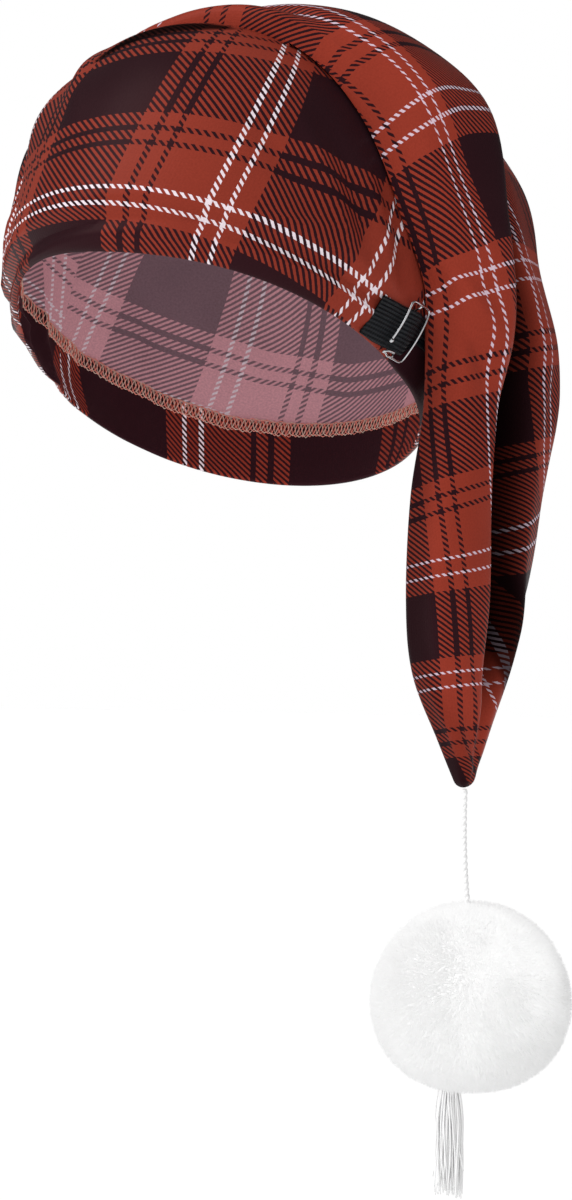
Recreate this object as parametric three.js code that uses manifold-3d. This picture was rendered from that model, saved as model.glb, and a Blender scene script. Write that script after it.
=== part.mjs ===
import * as THREE from "three";
import { mergeVertices } from "three/addons/utils/BufferGeometryUtils.js";
import Module from "manifold-3d";

// A nightcap: one cloth shell that is a crown for the head and a long folded tail, a strap with a
// slider over the rim, and a fur pompom with a tassel that hangs from the tip of the tail on a cord.
// Millimetres. +Z is up, the wearer looks along -Y and the tail hangs at the wearer's left, +X.
// The origin is the centre of the head opening.

const wasm = await Module();
wasm.setup();

const GAP = 0.3; // between pieces that touch
const CLOTH = 1.2; // the thickness of one layer of the cap's cloth

// The crown, in its own frame: across the head, forward to the forehead and up through the crown.
const CROWN = {
  lean: 26, // degrees that its own up leans back from upright
  halfWidth: 91, // of the widest section
  frontLength: 109, // of the widest section, from its middle to the forehead
  backLength: 99, // and to the back of the head
  height: 123,
  fullness: 3.25, // the exponent of the profile: 2 is an ellipse, more is squarer
  rimTuck: 0.13, // the share by which the elastic rim is narrower than the crown
  backTuck: 0.03, // the same at the back of the head
  tuckHeight: 30, // the height over which the crown swells out from the rim
  topForward: 19, // how far the top is shifted towards the forehead
  sides: 44,
  rings: 13,
};
const HEM = 30; // the height of the hem, which is turned up inside the rim

// The tail, a flattened tube. Each row is one section: where its front fold and its back fold are,
// how far the cloth stands out from the line between them at the front and at the rear, how far it
// stands in behind that line, and the pleat that runs down its outer side: how deep it is, and where
// it is from the front fold, 0, to the back one, 1.
const TAIL = [
  { front: [-72, 0, 84], back: [-60, 60, 60], out: 7, rear: 6, inn: 4, pleat: 0, at: 0.4 },
  { front: [-44, -17, 122], back: [-30, 80, 78], out: 12, rear: 9, inn: 7, pleat: 0, at: 0.4 },
  { front: [-6, -28, 138], back: [0, 90, 84], out: 13, rear: 12, inn: 9, pleat: 0, at: 0.4 },
  { front: [28, -29, 137], back: [32, 92, 86], out: 22, rear: 20, inn: 11, pleat: 0, at: 0.4 },
  { front: [56, -25, 124], back: [64, 90, 80], out: 31, rear: 27, inn: 14, pleat: 0, at: 0.4 },
  { front: [76, -20, 98], back: [84, 86, 60], out: 35.5, rear: 32, inn: 13, pleat: 3, at: 0.4 },
  { front: [86, -13, 63], back: [90, 82, 36], out: 35.5, rear: 30, inn: 9, pleat: 12, at: 0.41 },
  { front: [91.5, 0, 27], back: [92, 80, 8], out: 33, rear: 33.5, inn: 7, pleat: 22, at: 0.4 },
  { front: [91.8, 0.5, -12], back: [94, 76, -22], out: 24.5, rear: 34, inn: 7, pleat: 24, at: 0.4 },
  { front: [90, -8, -50], back: [95, 64, -54], out: 25.5, rear: 32, inn: 8, pleat: 21, at: 0.43 },
  { front: [87, -6, -91], back: [97, 52, -93], out: 26, rear: 28, inn: 8, pleat: 16, at: 0.48 },
  { front: [87, 0, -120], back: [100, 42, -121], out: 21, rear: 21, inn: 8, pleat: 9, at: 0.52 },
  { front: [93, 10, -146], back: [101, 30, -146], out: 10, rear: 9, inn: 6, pleat: 2, at: 0.58 },
  { front: [99, 17.5, -166], back: [100.5, 20.5, -166], out: 2, rear: 2, inn: 2, pleat: 0, at: 0.55 },
];
const TAIL_RINGS = 29;
const TAIL_SIDES = { inn: 9, rear: 12, out: 10 }; // rear and out are the two sides of the pleat
const TAIL_END = 0.97; // the share of its length over which the tail is hollow
const TAIL_FREE = 44; // across: from here on the tail is clear of the crown
const TAIL_CLEAR = 1; // the gap between the two there

// The strap lies along the rim on the wearer's left. Each row is a place along its middle, in the
// crown's own frame, with how far it is lifted off the crown's cloth.
const STRAP = { width: 16, thick: 1.3, across: 5 };
const STRAP_PATH = [
  { forward: 33, up: 6.6, lift: 0.4 },
  { forward: 27, up: 7.6, lift: 0.4 },
  { forward: 20.8, up: 8.6, lift: 0.4 },
  { forward: 17, up: 9.4, lift: 2.1 },
  { forward: 14.5, up: 9.9, lift: 2.5 },
  { forward: 12, up: 10.4, lift: 2.1 },
  { forward: 8.2, up: 11.2, lift: 0.4 },
  { forward: 0, up: 12.5, lift: 0.4 },
  { forward: -9, up: 13.6, lift: 0.4 },
  { forward: -18, up: 14.6, lift: 0.4 },
];
// The slider is a frame of wire with a third bar across its middle, that the strap passes over.
const SLIDER = {
  forward: 14.5,
  up: 10.4,
  wide: 12,
  tall: 20,
  wire: 1.2,
  tilt: -10, // degrees
  lift: 1.4, // of the strap where it passes over the middle bar
  square: 0.35, // the exponent of the frame's outline: 1 is an ellipse, less is squarer
  points: 28,
  steps: 40,
  sides: 6,
};

const CORD = {
  diameter: 2,
  top: [99.9, 18.9, -166.6],
  end: [101.2, 18.9, -214.6],
  sway: 1.2,
  steps: 10,
  sides: 8,
};

// The pompom is a round core of fur with locks all over it, that all hang a little.
const POMPOM = {
  middle: [102.3, 18.9, -251.6],
  radius: 38.6,
  up: 38.8,
  down: 35.6,
  sides: 20,
  rings: 11,
  locks: 44,
  lockDroop: 0.3, // radians that a lock's end hangs down round the core
  lockRise: 1.2, // how far its end stands off the core
  lockSides: 5,
};
// The tassel is a bundle of strands under the pompom.
const TASSEL = { top: [94.4, 18.4, -287.6], head: 5.4, length: 42, spread: 6.9, strands: 11, sides: 5 };
const SOCKET = { depth: 12, clear: 0.6, sides: 12 }; // the seats in the fur of the tassel and the cord
const GOLDEN_ANGLE = Math.PI * (3 - Math.sqrt(5));

/** A point of the crown's own frame in the part's frame. */
function fromCrown(across, forward, up) {
  const lean = THREE.MathUtils.degToRad(CROWN.lean);
  return new THREE.Vector3(
    across,
    -forward * Math.cos(lean) + up * Math.sin(lean),
    forward * Math.sin(lean) + up * Math.cos(lean),
  );
}

/** The share of the widest section at a height of the crown. Back is 1 at the back of the head, 0
 * at its sides and its front. */
function crownShare(height, top, back) {
  const dome = Math.pow(1 - Math.pow(Math.min(height / top, 1), CROWN.fullness), 1 / CROWN.fullness);
  const rise = THREE.MathUtils.clamp(height / CROWN.tuckHeight, 0, 1);
  const tuck = THREE.MathUtils.lerp(CROWN.rimTuck, CROWN.backTuck, back);
  return (height < 0 ? 1 : dome) * (1 - tuck * (1 - rise) * (1 - rise));
}

const crownShift = (height) => CROWN.topForward * Math.pow(Math.max(height, 0) / CROWN.height, 2);

/** The ring of the crown at a height, taken in by inset on every side. */
function crownRing(height, inset) {
  return Array.from({ length: CROWN.sides }, (_, i) => {
    const angle = (i / CROWN.sides) * 2 * Math.PI;
    const back = Math.sin(angle);
    const share = crownShare(height, CROWN.height - inset, Math.max(back, 0));
    const halfLength = back > 0 ? CROWN.backLength : CROWN.frontLength;
    return fromCrown(
      (CROWN.halfWidth * share - inset) * Math.cos(angle),
      -(halfLength * share - inset) * back + crownShift(height),
      height,
    );
  });
}

/** A point on the wearer's left of the crown, lifted off its cloth. */
function onCrown(forward, up, lift) {
  const surface = (f, u) => {
    const back = Math.max((crownShift(u) - f) / CROWN.backLength, 0);
    const share = crownShare(u, CROWN.height, back);
    const along = (f - crownShift(u)) / ((back > 0 ? CROWN.backLength : CROWN.frontLength) * share);
    return fromCrown(CROWN.halfWidth * share * Math.sqrt(1 - along * along), f, u);
  };
  const at = surface(forward, up);
  const ahead = surface(forward + 1, up).sub(at);
  const above = surface(forward, up + 1).sub(at);
  const normal = new THREE.Vector3().crossVectors(above, ahead).normalize();
  return at.addScaledVector(normal, normal.x > 0 ? lift : -lift);
}

/** A row of the tail's table at any place along it, by Catmull-Rom through the rows. */
function tailRow(place) {
  const s = place * (TAIL.length - 1);
  const i = Math.min(Math.floor(s), TAIL.length - 2);
  const t = s - i;
  const rows = [i - 1, i, i + 1, i + 2].map((k) => TAIL[THREE.MathUtils.clamp(k, 0, TAIL.length - 1)]);
  const blend = (a, b, c, d) =>
    0.5 * (2 * b + (c - a) * t + (2 * a - 5 * b + 4 * c - d) * t * t + (3 * b - a - 3 * c + d) * t * t * t);
  const of = (pick) => blend(...rows.map(pick));
  const vector = (key) => new THREE.Vector3(...[0, 1, 2].map((axis) => of((row) => row[key][axis])));
  return {
    front: vector("front"),
    back: vector("back"),
    out: of((row) => row.out),
    rear: of((row) => row.rear),
    inn: of((row) => row.inn),
    pleat: Math.max(of((row) => row.pleat), 0),
    at: of((row) => row.at),
  };
}

/** The outline of a section of the tail, as pairs of a distance from its middle towards the back
 * fold and a distance outwards. */
function tailOutline(row) {
  const half = row.front.distanceTo(row.back) / 2;
  const pleatAt = 2 * row.at - 1;
  const outline = [];
  for (let i = 0; i < TAIL_SIDES.inn; i++) {
    const t = (i / TAIL_SIDES.inn) * Math.PI;
    outline.push([-half * Math.cos(t), -row.inn * Math.pow(Math.sin(t), 0.8)]);
  }
  const turns = TAIL_SIDES.rear + TAIL_SIDES.out;
  const pleatTurn = Math.acos(pleatAt);
  for (let i = 0; i < turns; i++) {
    const past = (i - TAIL_SIDES.rear) / (i < TAIL_SIDES.rear ? TAIL_SIDES.rear : TAIL_SIDES.out);
    const t =
      past < 0
        ? pleatTurn * (1 - Math.pow(-past, 1.3))
        : THREE.MathUtils.lerp(pleatTurn, Math.PI, Math.pow(past, 1.4));
    const along = Math.cos(t);
    const off = (along - pleatAt) / (along < pleatAt ? 0.16 : 0.3);
    const rear = THREE.MathUtils.smoothstep(along, pleatAt - 0.2, pleatAt + 0.35);
    const bulge = THREE.MathUtils.lerp(row.out, row.rear, rear) * Math.pow(Math.sin(t), 0.5);
    outline.push([half * along, bulge - row.pleat * Math.exp(-off * off)]);
  }
  return outline;
}

/** The ring of the tail at a place along it, taken in by inset on every side. */
function tailRing(place, inset) {
  const row = tailRow(place);
  const middle = row.front.clone().add(row.back).multiplyScalar(0.5);
  const step = 0.01;
  const before = tailRow(Math.max(place - step, 0));
  const after = tailRow(Math.min(place + step, 1));
  const flow = after.front.add(after.back).sub(before.front).sub(before.back).normalize();
  const wide = row.back.clone().sub(row.front).normalize();
  const outward = new THREE.Vector3().crossVectors(flow, wide).normalize();
  const outline = tailOutline(row);
  return outline.map(([u, v], i) => {
    const [pu, pv] = outline[(i + outline.length - 1) % outline.length];
    const [nu, nv] = outline[(i + 1) % outline.length];
    const length = Math.hypot(nu - pu, nv - pv);
    const du = (-(nv - pv) / length) * inset;
    const dv = ((nu - pu) / length) * inset;
    return middle.clone().addScaledVector(wide, u + du).addScaledVector(outward, v + dv);
  });
}

/** A closed body through rings of equally many points, with a fan over each end. The rings turn
 * anticlockwise about the way from the first one to the last. */
function loft(rings) {
  const sides = rings[0].length;
  const points = rings.flat();
  const ends = [rings[0], rings[rings.length - 1]].map((ring) => {
    points.push(ring.reduce((sum, p) => sum.add(p), new THREE.Vector3()).divideScalar(sides));
    return points.length - 1;
  });
  const index = [];
  rings.slice(1).forEach((_, r) => {
    for (let i = 0; i < sides; i++) {
      const a = r * sides + i;
      const b = r * sides + ((i + 1) % sides);
      index.push(a, b, b + sides, a, b + sides, a + sides);
    }
  });
  const last = (rings.length - 1) * sides;
  for (let i = 0; i < sides; i++) {
    const next = (i + 1) % sides;
    index.push(ends[0], next, i, ends[1], last + i, last + next);
  }
  return new THREE.BufferGeometry().setFromPoints(points).setIndex(index);
}

/** A tube along a curve, round or tapered, with flat ends. */
function tube(points, radii, sides) {
  const curve = new THREE.CatmullRomCurve3(points);
  const steps = points.length - 1;
  const frames = curve.computeFrenetFrames(steps, false);
  return loft(
    points.map((_, r) => {
      const middle = curve.getPointAt(r / steps);
      return Array.from({ length: sides }, (_, i) => {
        const angle = (i / sides) * 2 * Math.PI;
        return middle
          .clone()
          .addScaledVector(frames.normals[r], radii[r] * Math.cos(angle))
          .addScaledVector(frames.binormals[r], radii[r] * Math.sin(angle));
      });
    }),
  );
}

function toSolid(geometry) {
  const bare = geometry.clone();
  bare.deleteAttribute("normal");
  bare.deleteAttribute("uv");
  const merged = mergeVertices(bare, 1e-3);
  return new wasm.Manifold(
    new wasm.Mesh({
      numProp: 3,
      vertProperties: merged.attributes.position.array,
      triVerts: new Uint32Array(merged.index.array),
    }),
  );
}

function toGeometry(solid) {
  const mesh = solid.getMesh();
  return new THREE.BufferGeometry()
    .setAttribute("position", new THREE.BufferAttribute(mesh.vertProperties, 3))
    .setIndex(new THREE.BufferAttribute(mesh.triVerts, 1));
}

const part = new THREE.Group();
function addPiece(name, geometry, material) {
  const mesh = new THREE.Mesh(geometry, material);
  mesh.name = name;
  part.add(mesh);
  return mesh;
}

const tartan = new THREE.MeshStandardMaterial({ color: 0x8a3228, roughness: 0.55, metalness: 0 });
const elastic = new THREE.MeshStandardMaterial({ color: 0x16161a, roughness: 0.85, metalness: 0 });
const steel = new THREE.MeshStandardMaterial({ color: 0xb8b8bc, roughness: 0.3, metalness: 1 });
const fur = new THREE.MeshStandardMaterial({ color: 0xf6f6f6, roughness: 0.95, metalness: 0 });
const thread = new THREE.MeshStandardMaterial({ color: 0xececec, roughness: 0.8, metalness: 0 });

/** The heights of the crown's rings, closer together towards the top. */
const heights = (top, from, rings) =>
  Array.from({ length: rings }, (_, i) => {
    const angle = (i / (rings - 1)) * Math.PI * 0.49;
    return from + (top - from) * Math.sin(angle);
  });

/** The strap's body, grown by a margin on every side. */
function strapBody(margin) {
  return loft(
    STRAP_PATH.map((row, r) => {
      const before = STRAP_PATH[Math.max(r - 1, 0)];
      const after = STRAP_PATH[Math.min(r + 1, STRAP_PATH.length - 1)];
      const run = new THREE.Vector2(after.forward - before.forward, after.up - before.up).normalize();
      const edge = (share, lift) => {
        const w = share * (STRAP.width / 2 + margin);
        const end = r === 0 ? -margin : r === STRAP_PATH.length - 1 ? margin : 0;
        return onCrown(row.forward + run.y * w + run.x * end, row.up - run.x * w + run.y * end, lift);
      };
      const across = Array.from({ length: STRAP.across }, (_, i) => (2 * i) / (STRAP.across - 1) - 1);
      const under = across.map((w) => edge(w, row.lift - margin));
      const over = across.map((w) => edge(w, row.lift + STRAP.thick + margin)).reverse();
      return [...over, ...under];
    }),
  );
}

// The slider: one wire round its frame, over the strap, and one across it, under the strap.
const tilt = THREE.MathUtils.degToRad(SLIDER.tilt);
const onSlider = (a, b, lift) =>
  onCrown(
    SLIDER.forward + a * Math.cos(tilt) - b * Math.sin(tilt),
    SLIDER.up + a * Math.sin(tilt) + b * Math.cos(tilt),
    lift,
  );
const wireRadius = SLIDER.wire / 2;
const frameLift = STRAP.thick + GAP + wireRadius + SLIDER.lift;
const corner = (v) => Math.sign(v) * Math.pow(Math.abs(v), SLIDER.square);
const frameCurve = new THREE.CatmullRomCurve3(
  Array.from({ length: SLIDER.points }, (_, i) => {
    const angle = (i / SLIDER.points) * 2 * Math.PI;
    const a = (SLIDER.wide / 2) * corner(Math.cos(angle));
    return onSlider(a, (SLIDER.tall / 2) * corner(Math.sin(angle)), frameLift);
  }),
  true,
);
const barCurve = new THREE.CatmullRomCurve3(
  [-0.5, -0.485, -0.45, -0.2, 0, 0.2, 0.45, 0.485, 0.5].map((w) => {
    const rise = THREE.MathUtils.smoothstep(Math.abs(w), 0.45, 0.5);
    return onSlider(0, w * SLIDER.tall, THREE.MathUtils.lerp(wireRadius + GAP, frameLift, rise));
  }),
);
const frameBody = (margin) =>
  toSolid(new THREE.TubeGeometry(frameCurve, SLIDER.steps, wireRadius + margin, SLIDER.sides, true));

// The cap: the crown with the tail on it, less the room inside both. The hem is a second layer.
// The tail is cut back where it hangs over the crown and over the strap.
const crownBody = (inset) =>
  toSolid(loft(heights(CROWN.height - inset, 0, CROWN.rings).map((h) => crownRing(h, inset))));
const tailBody = (inset, end) => {
  const places = Array.from({ length: TAIL_RINGS }, (_, i) => (i / (TAIL_RINGS - 1)) * end);
  return toSolid(loft(places.map((s) => tailRing(s, inset))))
    .subtract(crownBody(-TAIL_CLEAR - inset).trimByPlane([1, 0, 0], TAIL_FREE - inset))
    .subtract(toSolid(strapBody(GAP + inset)))
    .subtract(frameBody(GAP + inset));
};
const hemRoom = loft([-5, 0, HEM / 3, (HEM * 2) / 3, HEM, HEM + 1].map((h) => crownRing(h, 2 * CLOTH)));
const roomHeights = heights(CROWN.height - CLOTH, HEM, CROWN.rings - 3);
const crownRoom = loft(roomHeights.map((h) => crownRing(h, CLOTH)));
const cap = crownBody(0)
  .add(tailBody(0, 1))
  .subtract(toSolid(hemRoom))
  .subtract(toSolid(crownRoom))
  .subtract(tailBody(CLOTH, TAIL_END));
addPiece("cap", toGeometry(cap), tartan);
addPiece("strap", strapBody(0), elastic);

const barPoints = barCurve.getPoints(16);
const barBody = toSolid(tube(barPoints, Array(barPoints.length).fill(wireRadius), SLIDER.sides));
addPiece("slider", toGeometry(frameBody(0).add(barBody)), steel);

// The cord hangs from the tip of the tail into the top of the pompom.
const cordCurve = new THREE.CatmullRomCurve3(
  Array.from({ length: CORD.steps + 1 }, (_, i) => {
    const t = i / CORD.steps;
    const at = new THREE.Vector3(...CORD.top).lerp(new THREE.Vector3(...CORD.end), t);
    at.x += CORD.sway * Math.sin(t * Math.PI);
    return at;
  }),
);
const ring = new THREE.Shape(
  Array.from({ length: CORD.sides }, (_, i) => {
    const angle = (i / CORD.sides) * 2 * Math.PI;
    return new THREE.Vector2(Math.cos(angle), Math.sin(angle)).multiplyScalar(CORD.diameter / 2);
  }),
);
addPiece("cord", new THREE.ExtrudeGeometry(ring, { steps: CORD.steps, extrudePath: cordCurve }), thread);

// The pompom: a core that is fuller below its middle, with locks fused on that hang a little.
const pompomMiddle = new THREE.Vector3(...POMPOM.middle);
const onPompom = (polar, turn, lift) => {
  const up = Math.cos(polar);
  const flat = Math.pow(Math.sin(polar), up < 0 ? 0.86 : 0.97);
  return new THREE.Vector3(
    (POMPOM.radius + lift) * flat * Math.cos(turn),
    (POMPOM.radius + lift) * flat * Math.sin(turn),
    ((up < 0 ? POMPOM.down : POMPOM.up) + lift) * up,
  ).add(pompomMiddle);
};
const coreRings = Array.from({ length: POMPOM.rings }, (_, r) => {
  const polar = Math.PI * (1 - (r + 0.35) / (POMPOM.rings - 0.3));
  return Array.from({ length: POMPOM.sides }, (_, i) =>
    onPompom(polar, (i / POMPOM.sides) * 2 * Math.PI, 0),
  );
});
let pompom = toSolid(loft(coreRings));
for (let i = 0; i < POMPOM.locks; i++) {
  const polar = Math.acos(1 - (2 * (i + 0.5)) / POMPOM.locks);
  const turn = i * GOLDEN_ANGLE;
  const droop = POMPOM.lockDroop * (0.6 + 0.4 * Math.sin(7 * i));
  const reach = [
    { lift: -7, down: -0.06, radius: 6.5 },
    { lift: -2.4, down: 0.02, radius: 5.6 },
    { lift: 0.6, down: 0.6 * droop, radius: 3.2 },
    { lift: POMPOM.lockRise, down: droop, radius: 0.5 },
  ];
  const spine = reach.map((row) => onPompom(Math.min(polar + row.down, 3.1), turn, row.lift));
  const radii = reach.map((row) => row.radius);
  pompom = pompom.add(toSolid(tube(spine, radii, POMPOM.lockSides)));
}

// The tassel: strands fused to a head, that is set in the fur under the pompom.
const tasselTop = new THREE.Vector3(...TASSEL.top);
const below = (point, depth) => point.clone().add(new THREE.Vector3(0, 0, -depth));
const head = { down: [0, 1.5, 4, 7], radius: [0.46, 1, 0.9, 1], sides: 10 };
let tassel = toSolid(
  tube(
    head.down.map((depth) => below(tasselTop, depth)),
    head.radius.map((share) => share * TASSEL.head),
    head.sides,
  ),
);
for (let i = 0; i < TASSEL.strands; i++) {
  const turn = i * GOLDEN_ANGLE;
  const out = Math.sqrt((i + 0.5) / TASSEL.strands);
  const length = TASSEL.length * (0.86 + 0.14 * Math.cos(5 * i));
  const spine = [4, 14, 26, length].map((depth, k) => {
    const reach = out * THREE.MathUtils.lerp(TASSEL.head - 1.4, TASSEL.spread - 1, k / 3);
    const sway = 0.5 * Math.sin(i * 2.4 + k * 1.7);
    const aside = new THREE.Vector3(reach * Math.cos(turn) + sway, reach * Math.sin(turn), 0);
    return below(tasselTop, depth).add(aside);
  });
  tassel = tassel.add(toSolid(tube(spine, [1.7, 1.8, 1.6, 0.8], TASSEL.sides)));
}

/** The room for a piece of the given radius that starts at a point and goes down, or up if the depth
 * is negative. */
function socket(point, radius, depth) {
  const start = below(point, -Math.sign(depth) * GAP);
  const spine = [start, below(start, depth / 2), below(start, depth)];
  return toSolid(tube(spine, Array(3).fill(radius + SOCKET.clear), SOCKET.sides));
}
pompom = pompom
  .subtract(socket(tasselTop, TASSEL.head, SOCKET.depth))
  .subtract(socket(new THREE.Vector3(...CORD.end), CORD.diameter / 2, -SOCKET.depth));
addPiece("pompom", toGeometry(pompom), fur);
addPiece("tassel", toGeometry(tassel), thread);

export default part;
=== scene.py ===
# %% [markdown]
# # A nightcap
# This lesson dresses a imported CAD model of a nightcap: a printed jersey cap with a long folded tail,
# an elastic strap with a wire slider, and a fur pompom with a tassel that hangs on a cord. Every
# piece is made here again at the place where the CAD model has it, with the surface of the real one.

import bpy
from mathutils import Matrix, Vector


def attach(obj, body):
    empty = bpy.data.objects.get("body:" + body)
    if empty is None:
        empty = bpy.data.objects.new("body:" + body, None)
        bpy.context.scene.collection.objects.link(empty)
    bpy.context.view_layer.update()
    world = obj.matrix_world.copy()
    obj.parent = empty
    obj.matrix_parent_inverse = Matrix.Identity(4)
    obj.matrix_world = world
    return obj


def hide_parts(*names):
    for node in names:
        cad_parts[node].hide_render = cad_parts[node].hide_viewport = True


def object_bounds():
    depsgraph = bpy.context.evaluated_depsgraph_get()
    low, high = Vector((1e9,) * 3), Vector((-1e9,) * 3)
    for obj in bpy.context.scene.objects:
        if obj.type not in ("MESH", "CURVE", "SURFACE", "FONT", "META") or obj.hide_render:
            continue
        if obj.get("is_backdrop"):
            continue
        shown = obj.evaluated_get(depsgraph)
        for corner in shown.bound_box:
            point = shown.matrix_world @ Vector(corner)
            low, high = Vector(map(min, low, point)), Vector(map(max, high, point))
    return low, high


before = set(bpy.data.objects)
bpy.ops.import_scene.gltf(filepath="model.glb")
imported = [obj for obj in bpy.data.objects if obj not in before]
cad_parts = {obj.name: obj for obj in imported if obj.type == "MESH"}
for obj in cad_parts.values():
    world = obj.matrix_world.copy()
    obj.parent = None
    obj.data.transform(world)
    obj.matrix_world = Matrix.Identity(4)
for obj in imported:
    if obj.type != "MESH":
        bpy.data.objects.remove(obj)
cad_bounds = [[float(x) for x in corner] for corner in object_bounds()]

# %% Imports and units
import math

import bmesh
import bpy
import numpy as np
from mathutils import Matrix, Vector

MM = 0.001
WHOLE_TURN = 2 * math.pi

# %% [markdown]
# ## Small helpers
# Colours are written as sRGB hex values, as a paint chart gives them, and one function makes them
# linear, which is what shaders work in. One function adds a node with its settings and links.

# %% Colours and nodes
def linear(hex_colour):
    """An sRGB hex colour as linear red, green, blue and alpha."""
    channels = [int(hex_colour[i : i + 2], 16) / 255 for i in (1, 3, 5)]
    return [c / 12.92 if c <= 0.04045 else ((c + 0.055) / 1.055) ** 2.4 for c in channels] + [1.0]


def add_node(tree, kind, inputs=None, **settings):
    """Adds a node. Each input is a number, a colour, or the socket or the node that feeds it: of a
    node, its first output."""
    node = tree.nodes.new(kind)
    for name, value in settings.items():
        setattr(node, name, value)
    for name, value in (inputs or {}).items():
        if isinstance(value, bpy.types.Node):
            value = value.outputs[0]
        if isinstance(value, bpy.types.NodeSocket):
            tree.links.new(value, node.inputs[name])
        else:
            node.inputs[name].default_value = value
    return node


def start_material(name):
    """An empty material and its node tree."""
    material = bpy.data.materials.new(name)
    material.use_nodes = True
    material.node_tree.nodes.clear()
    return material, material.node_tree


def end_material(tree, shader_inputs):
    """Puts a Principled shader with these inputs on the output."""
    shader = add_node(tree, "ShaderNodeBsdfPrincipled", shader_inputs)
    add_node(tree, "ShaderNodeOutputMaterial", {"Surface": shader.outputs["BSDF"]})


# %% Pieces
def new_piece(name, bm, materials):
    """Makes a bmesh an object at the origin, smooth, with its materials."""
    mesh = bpy.data.meshes.new(name)
    bm.to_mesh(mesh)
    bm.free()
    mesh.shade_smooth()
    for material in materials:
        mesh.materials.append(material)
    piece = bpy.data.objects.new(name, mesh)
    bpy.context.scene.collection.objects.link(piece)
    return piece


def count(piece):
    """The piece's name and its number of triangles, to print."""
    return piece.name, sum(len(face.vertices) - 2 for face in piece.data.polygons), "triangles"


def settle(piece, node=None):
    """Puts a finished piece on the cap's one body, hides its CAD node if it has one, and prints its number
    of triangles.
    """
    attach(piece, "root")
    if node:
        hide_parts(node)
    print(count(piece))


# %% [markdown]
# ## Cloth as a rolled-up grid
# A grid is the simplest cloth: it is made flat with one operator, each of its points is moved to its
# place on the crown or the tail, and its two edges are sewn together. Its UV map is written before
# it is sewn, so the print breaks only at the seam. A cord, a thread or a wire is rolled the same way.

# %% Roll a grid
def roll(bm, places, chart=None, side=lambda row: 0, painted_shade=None):
    """Adds a closed body: places[row, column] are its points in millimetres, whose first and last
    columns meet. chart gives a point's place on the print, side the material of a row's faces, and
    the last argument how deep each point lies in a fold, which is drawn as painted shade."""
    rows, columns = places.shape[0] - 1, places.shape[1] - 1
    verts = bmesh.ops.create_grid(bm, x_segments=columns, y_segments=rows, size=0.5)["verts"]
    spot = {}
    for vert in verts:
        spot[vert] = (round((vert.co.y + 0.5) * rows), round((vert.co.x + 0.5) * columns))
    faces = {face for vert in verts for face in vert.link_faces}
    if chart:
        uv_layer = bm.loops.layers.uv.get("print") or bm.loops.layers.uv.new("print")
        # The fold map holds painted shade: how much darker each point is drawn for lying deep in a fold.
        painted_shade_layer = bm.loops.layers.uv.get("fold") or bm.loops.layers.uv.new("fold")
    for face in faces:
        spots = [spot[loop.vert] for loop in face.loops]
        row, column = min(s[0] for s in spots), min(s[1] for s in spots)
        face.material_index = side(row)
        if chart:
            for loop, (r, c) in zip(face.loops, spots):
                loop[uv_layer].uv = chart(row, column, r, c) * MM
                loop[painted_shade_layer].uv = (0 if painted_shade is None else painted_shade[r, c], 0)
    for vert, (r, c) in spot.items():
        vert.co = places[r, c] * MM
    bmesh.ops.remove_doubles(bm, verts=verts, dist=1e-6)
    open_edges = [edge for edge in bm.edges if edge.is_boundary]
    ends = bmesh.ops.holes_fill(bm, edges=open_edges, sides=0)["faces"] if open_edges else []
    for face in ends:
        face.material_index = side(0)
    bmesh.ops.recalc_face_normals(bm, faces=bm.faces)


def unit(vectors):
    """Vectors, made one long."""
    return vectors / np.linalg.norm(vectors, axis=-1, keepdims=True)


def run_along(points):
    """How far along a line of points each of them is."""
    return np.concatenate([[0], np.cumsum(np.linalg.norm(np.diff(points, axis=0), axis=1))])


TUBE_SIDE = (0.31, 0.22, 0.92)  # a direction that no tube runs along, from which its sides are counted


def tube(path, radius, sides, closed=False, turn=None):
    """The points of a round tube along a path, for roll. turn gives its section's own twist."""
    path = np.array(path, dtype=float)
    if closed:
        path = np.concatenate([path, path[:1]])
        step = np.roll(path[:-1], -1, axis=0) - np.roll(path[:-1], 1, axis=0)
        step = np.concatenate([step, step[:1]])
    else:
        step = np.gradient(path, axis=0)
    step = unit(step)
    side = unit(np.cross(step, TUBE_SIDE))
    other = np.cross(step, side)
    radius = np.broadcast_to(np.array(radius, dtype=float), (len(path), sides + 1))
    angle = np.linspace(0, WHOLE_TURN, sides + 1)[None, :] + (0 if turn is None else turn[:, None])
    across = np.cos(angle)[..., None] * side[:, None, :] + np.sin(angle)[..., None] * other[:, None, :]
    return path[:, None, :] + radius[..., None] * across


# %% [markdown]
# ## Camera, light and floor
# The cap is looked at from its front left, level with it, through a long lens as in a catalogue.
# The light is a white room with two very soft lamps: the main one high on the camera's left, and a
# weaker one low on its right that reaches under the rim. The room is seen white. It casts about half
# the light that it shows, and the cloth mirrors still less of it, so that the dark bands stay dark.

# %% Camera
VIEW = {"azimuth": 25.5, "distance": 1300, "target": (24.2, 11.5, -91.0), "lens": 95.6, "sensor": 36}
azimuth = math.radians(VIEW["azimuth"])
camera_data = bpy.data.cameras.new("camera")
camera_data.lens = VIEW["lens"]
camera_data.sensor_width = VIEW["sensor"]
camera = bpy.data.objects.new("camera", camera_data)
away = Vector((math.sin(azimuth), -math.cos(azimuth), 0)) * VIEW["distance"]
camera.location = (Vector(VIEW["target"]) + away) * MM
camera.rotation_euler = (math.radians(90), 0, azimuth)
bpy.context.scene.collection.objects.link(camera)
bpy.context.scene.camera = camera
print("camera at", tuple(round(x, 3) for x in camera.location))

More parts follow.
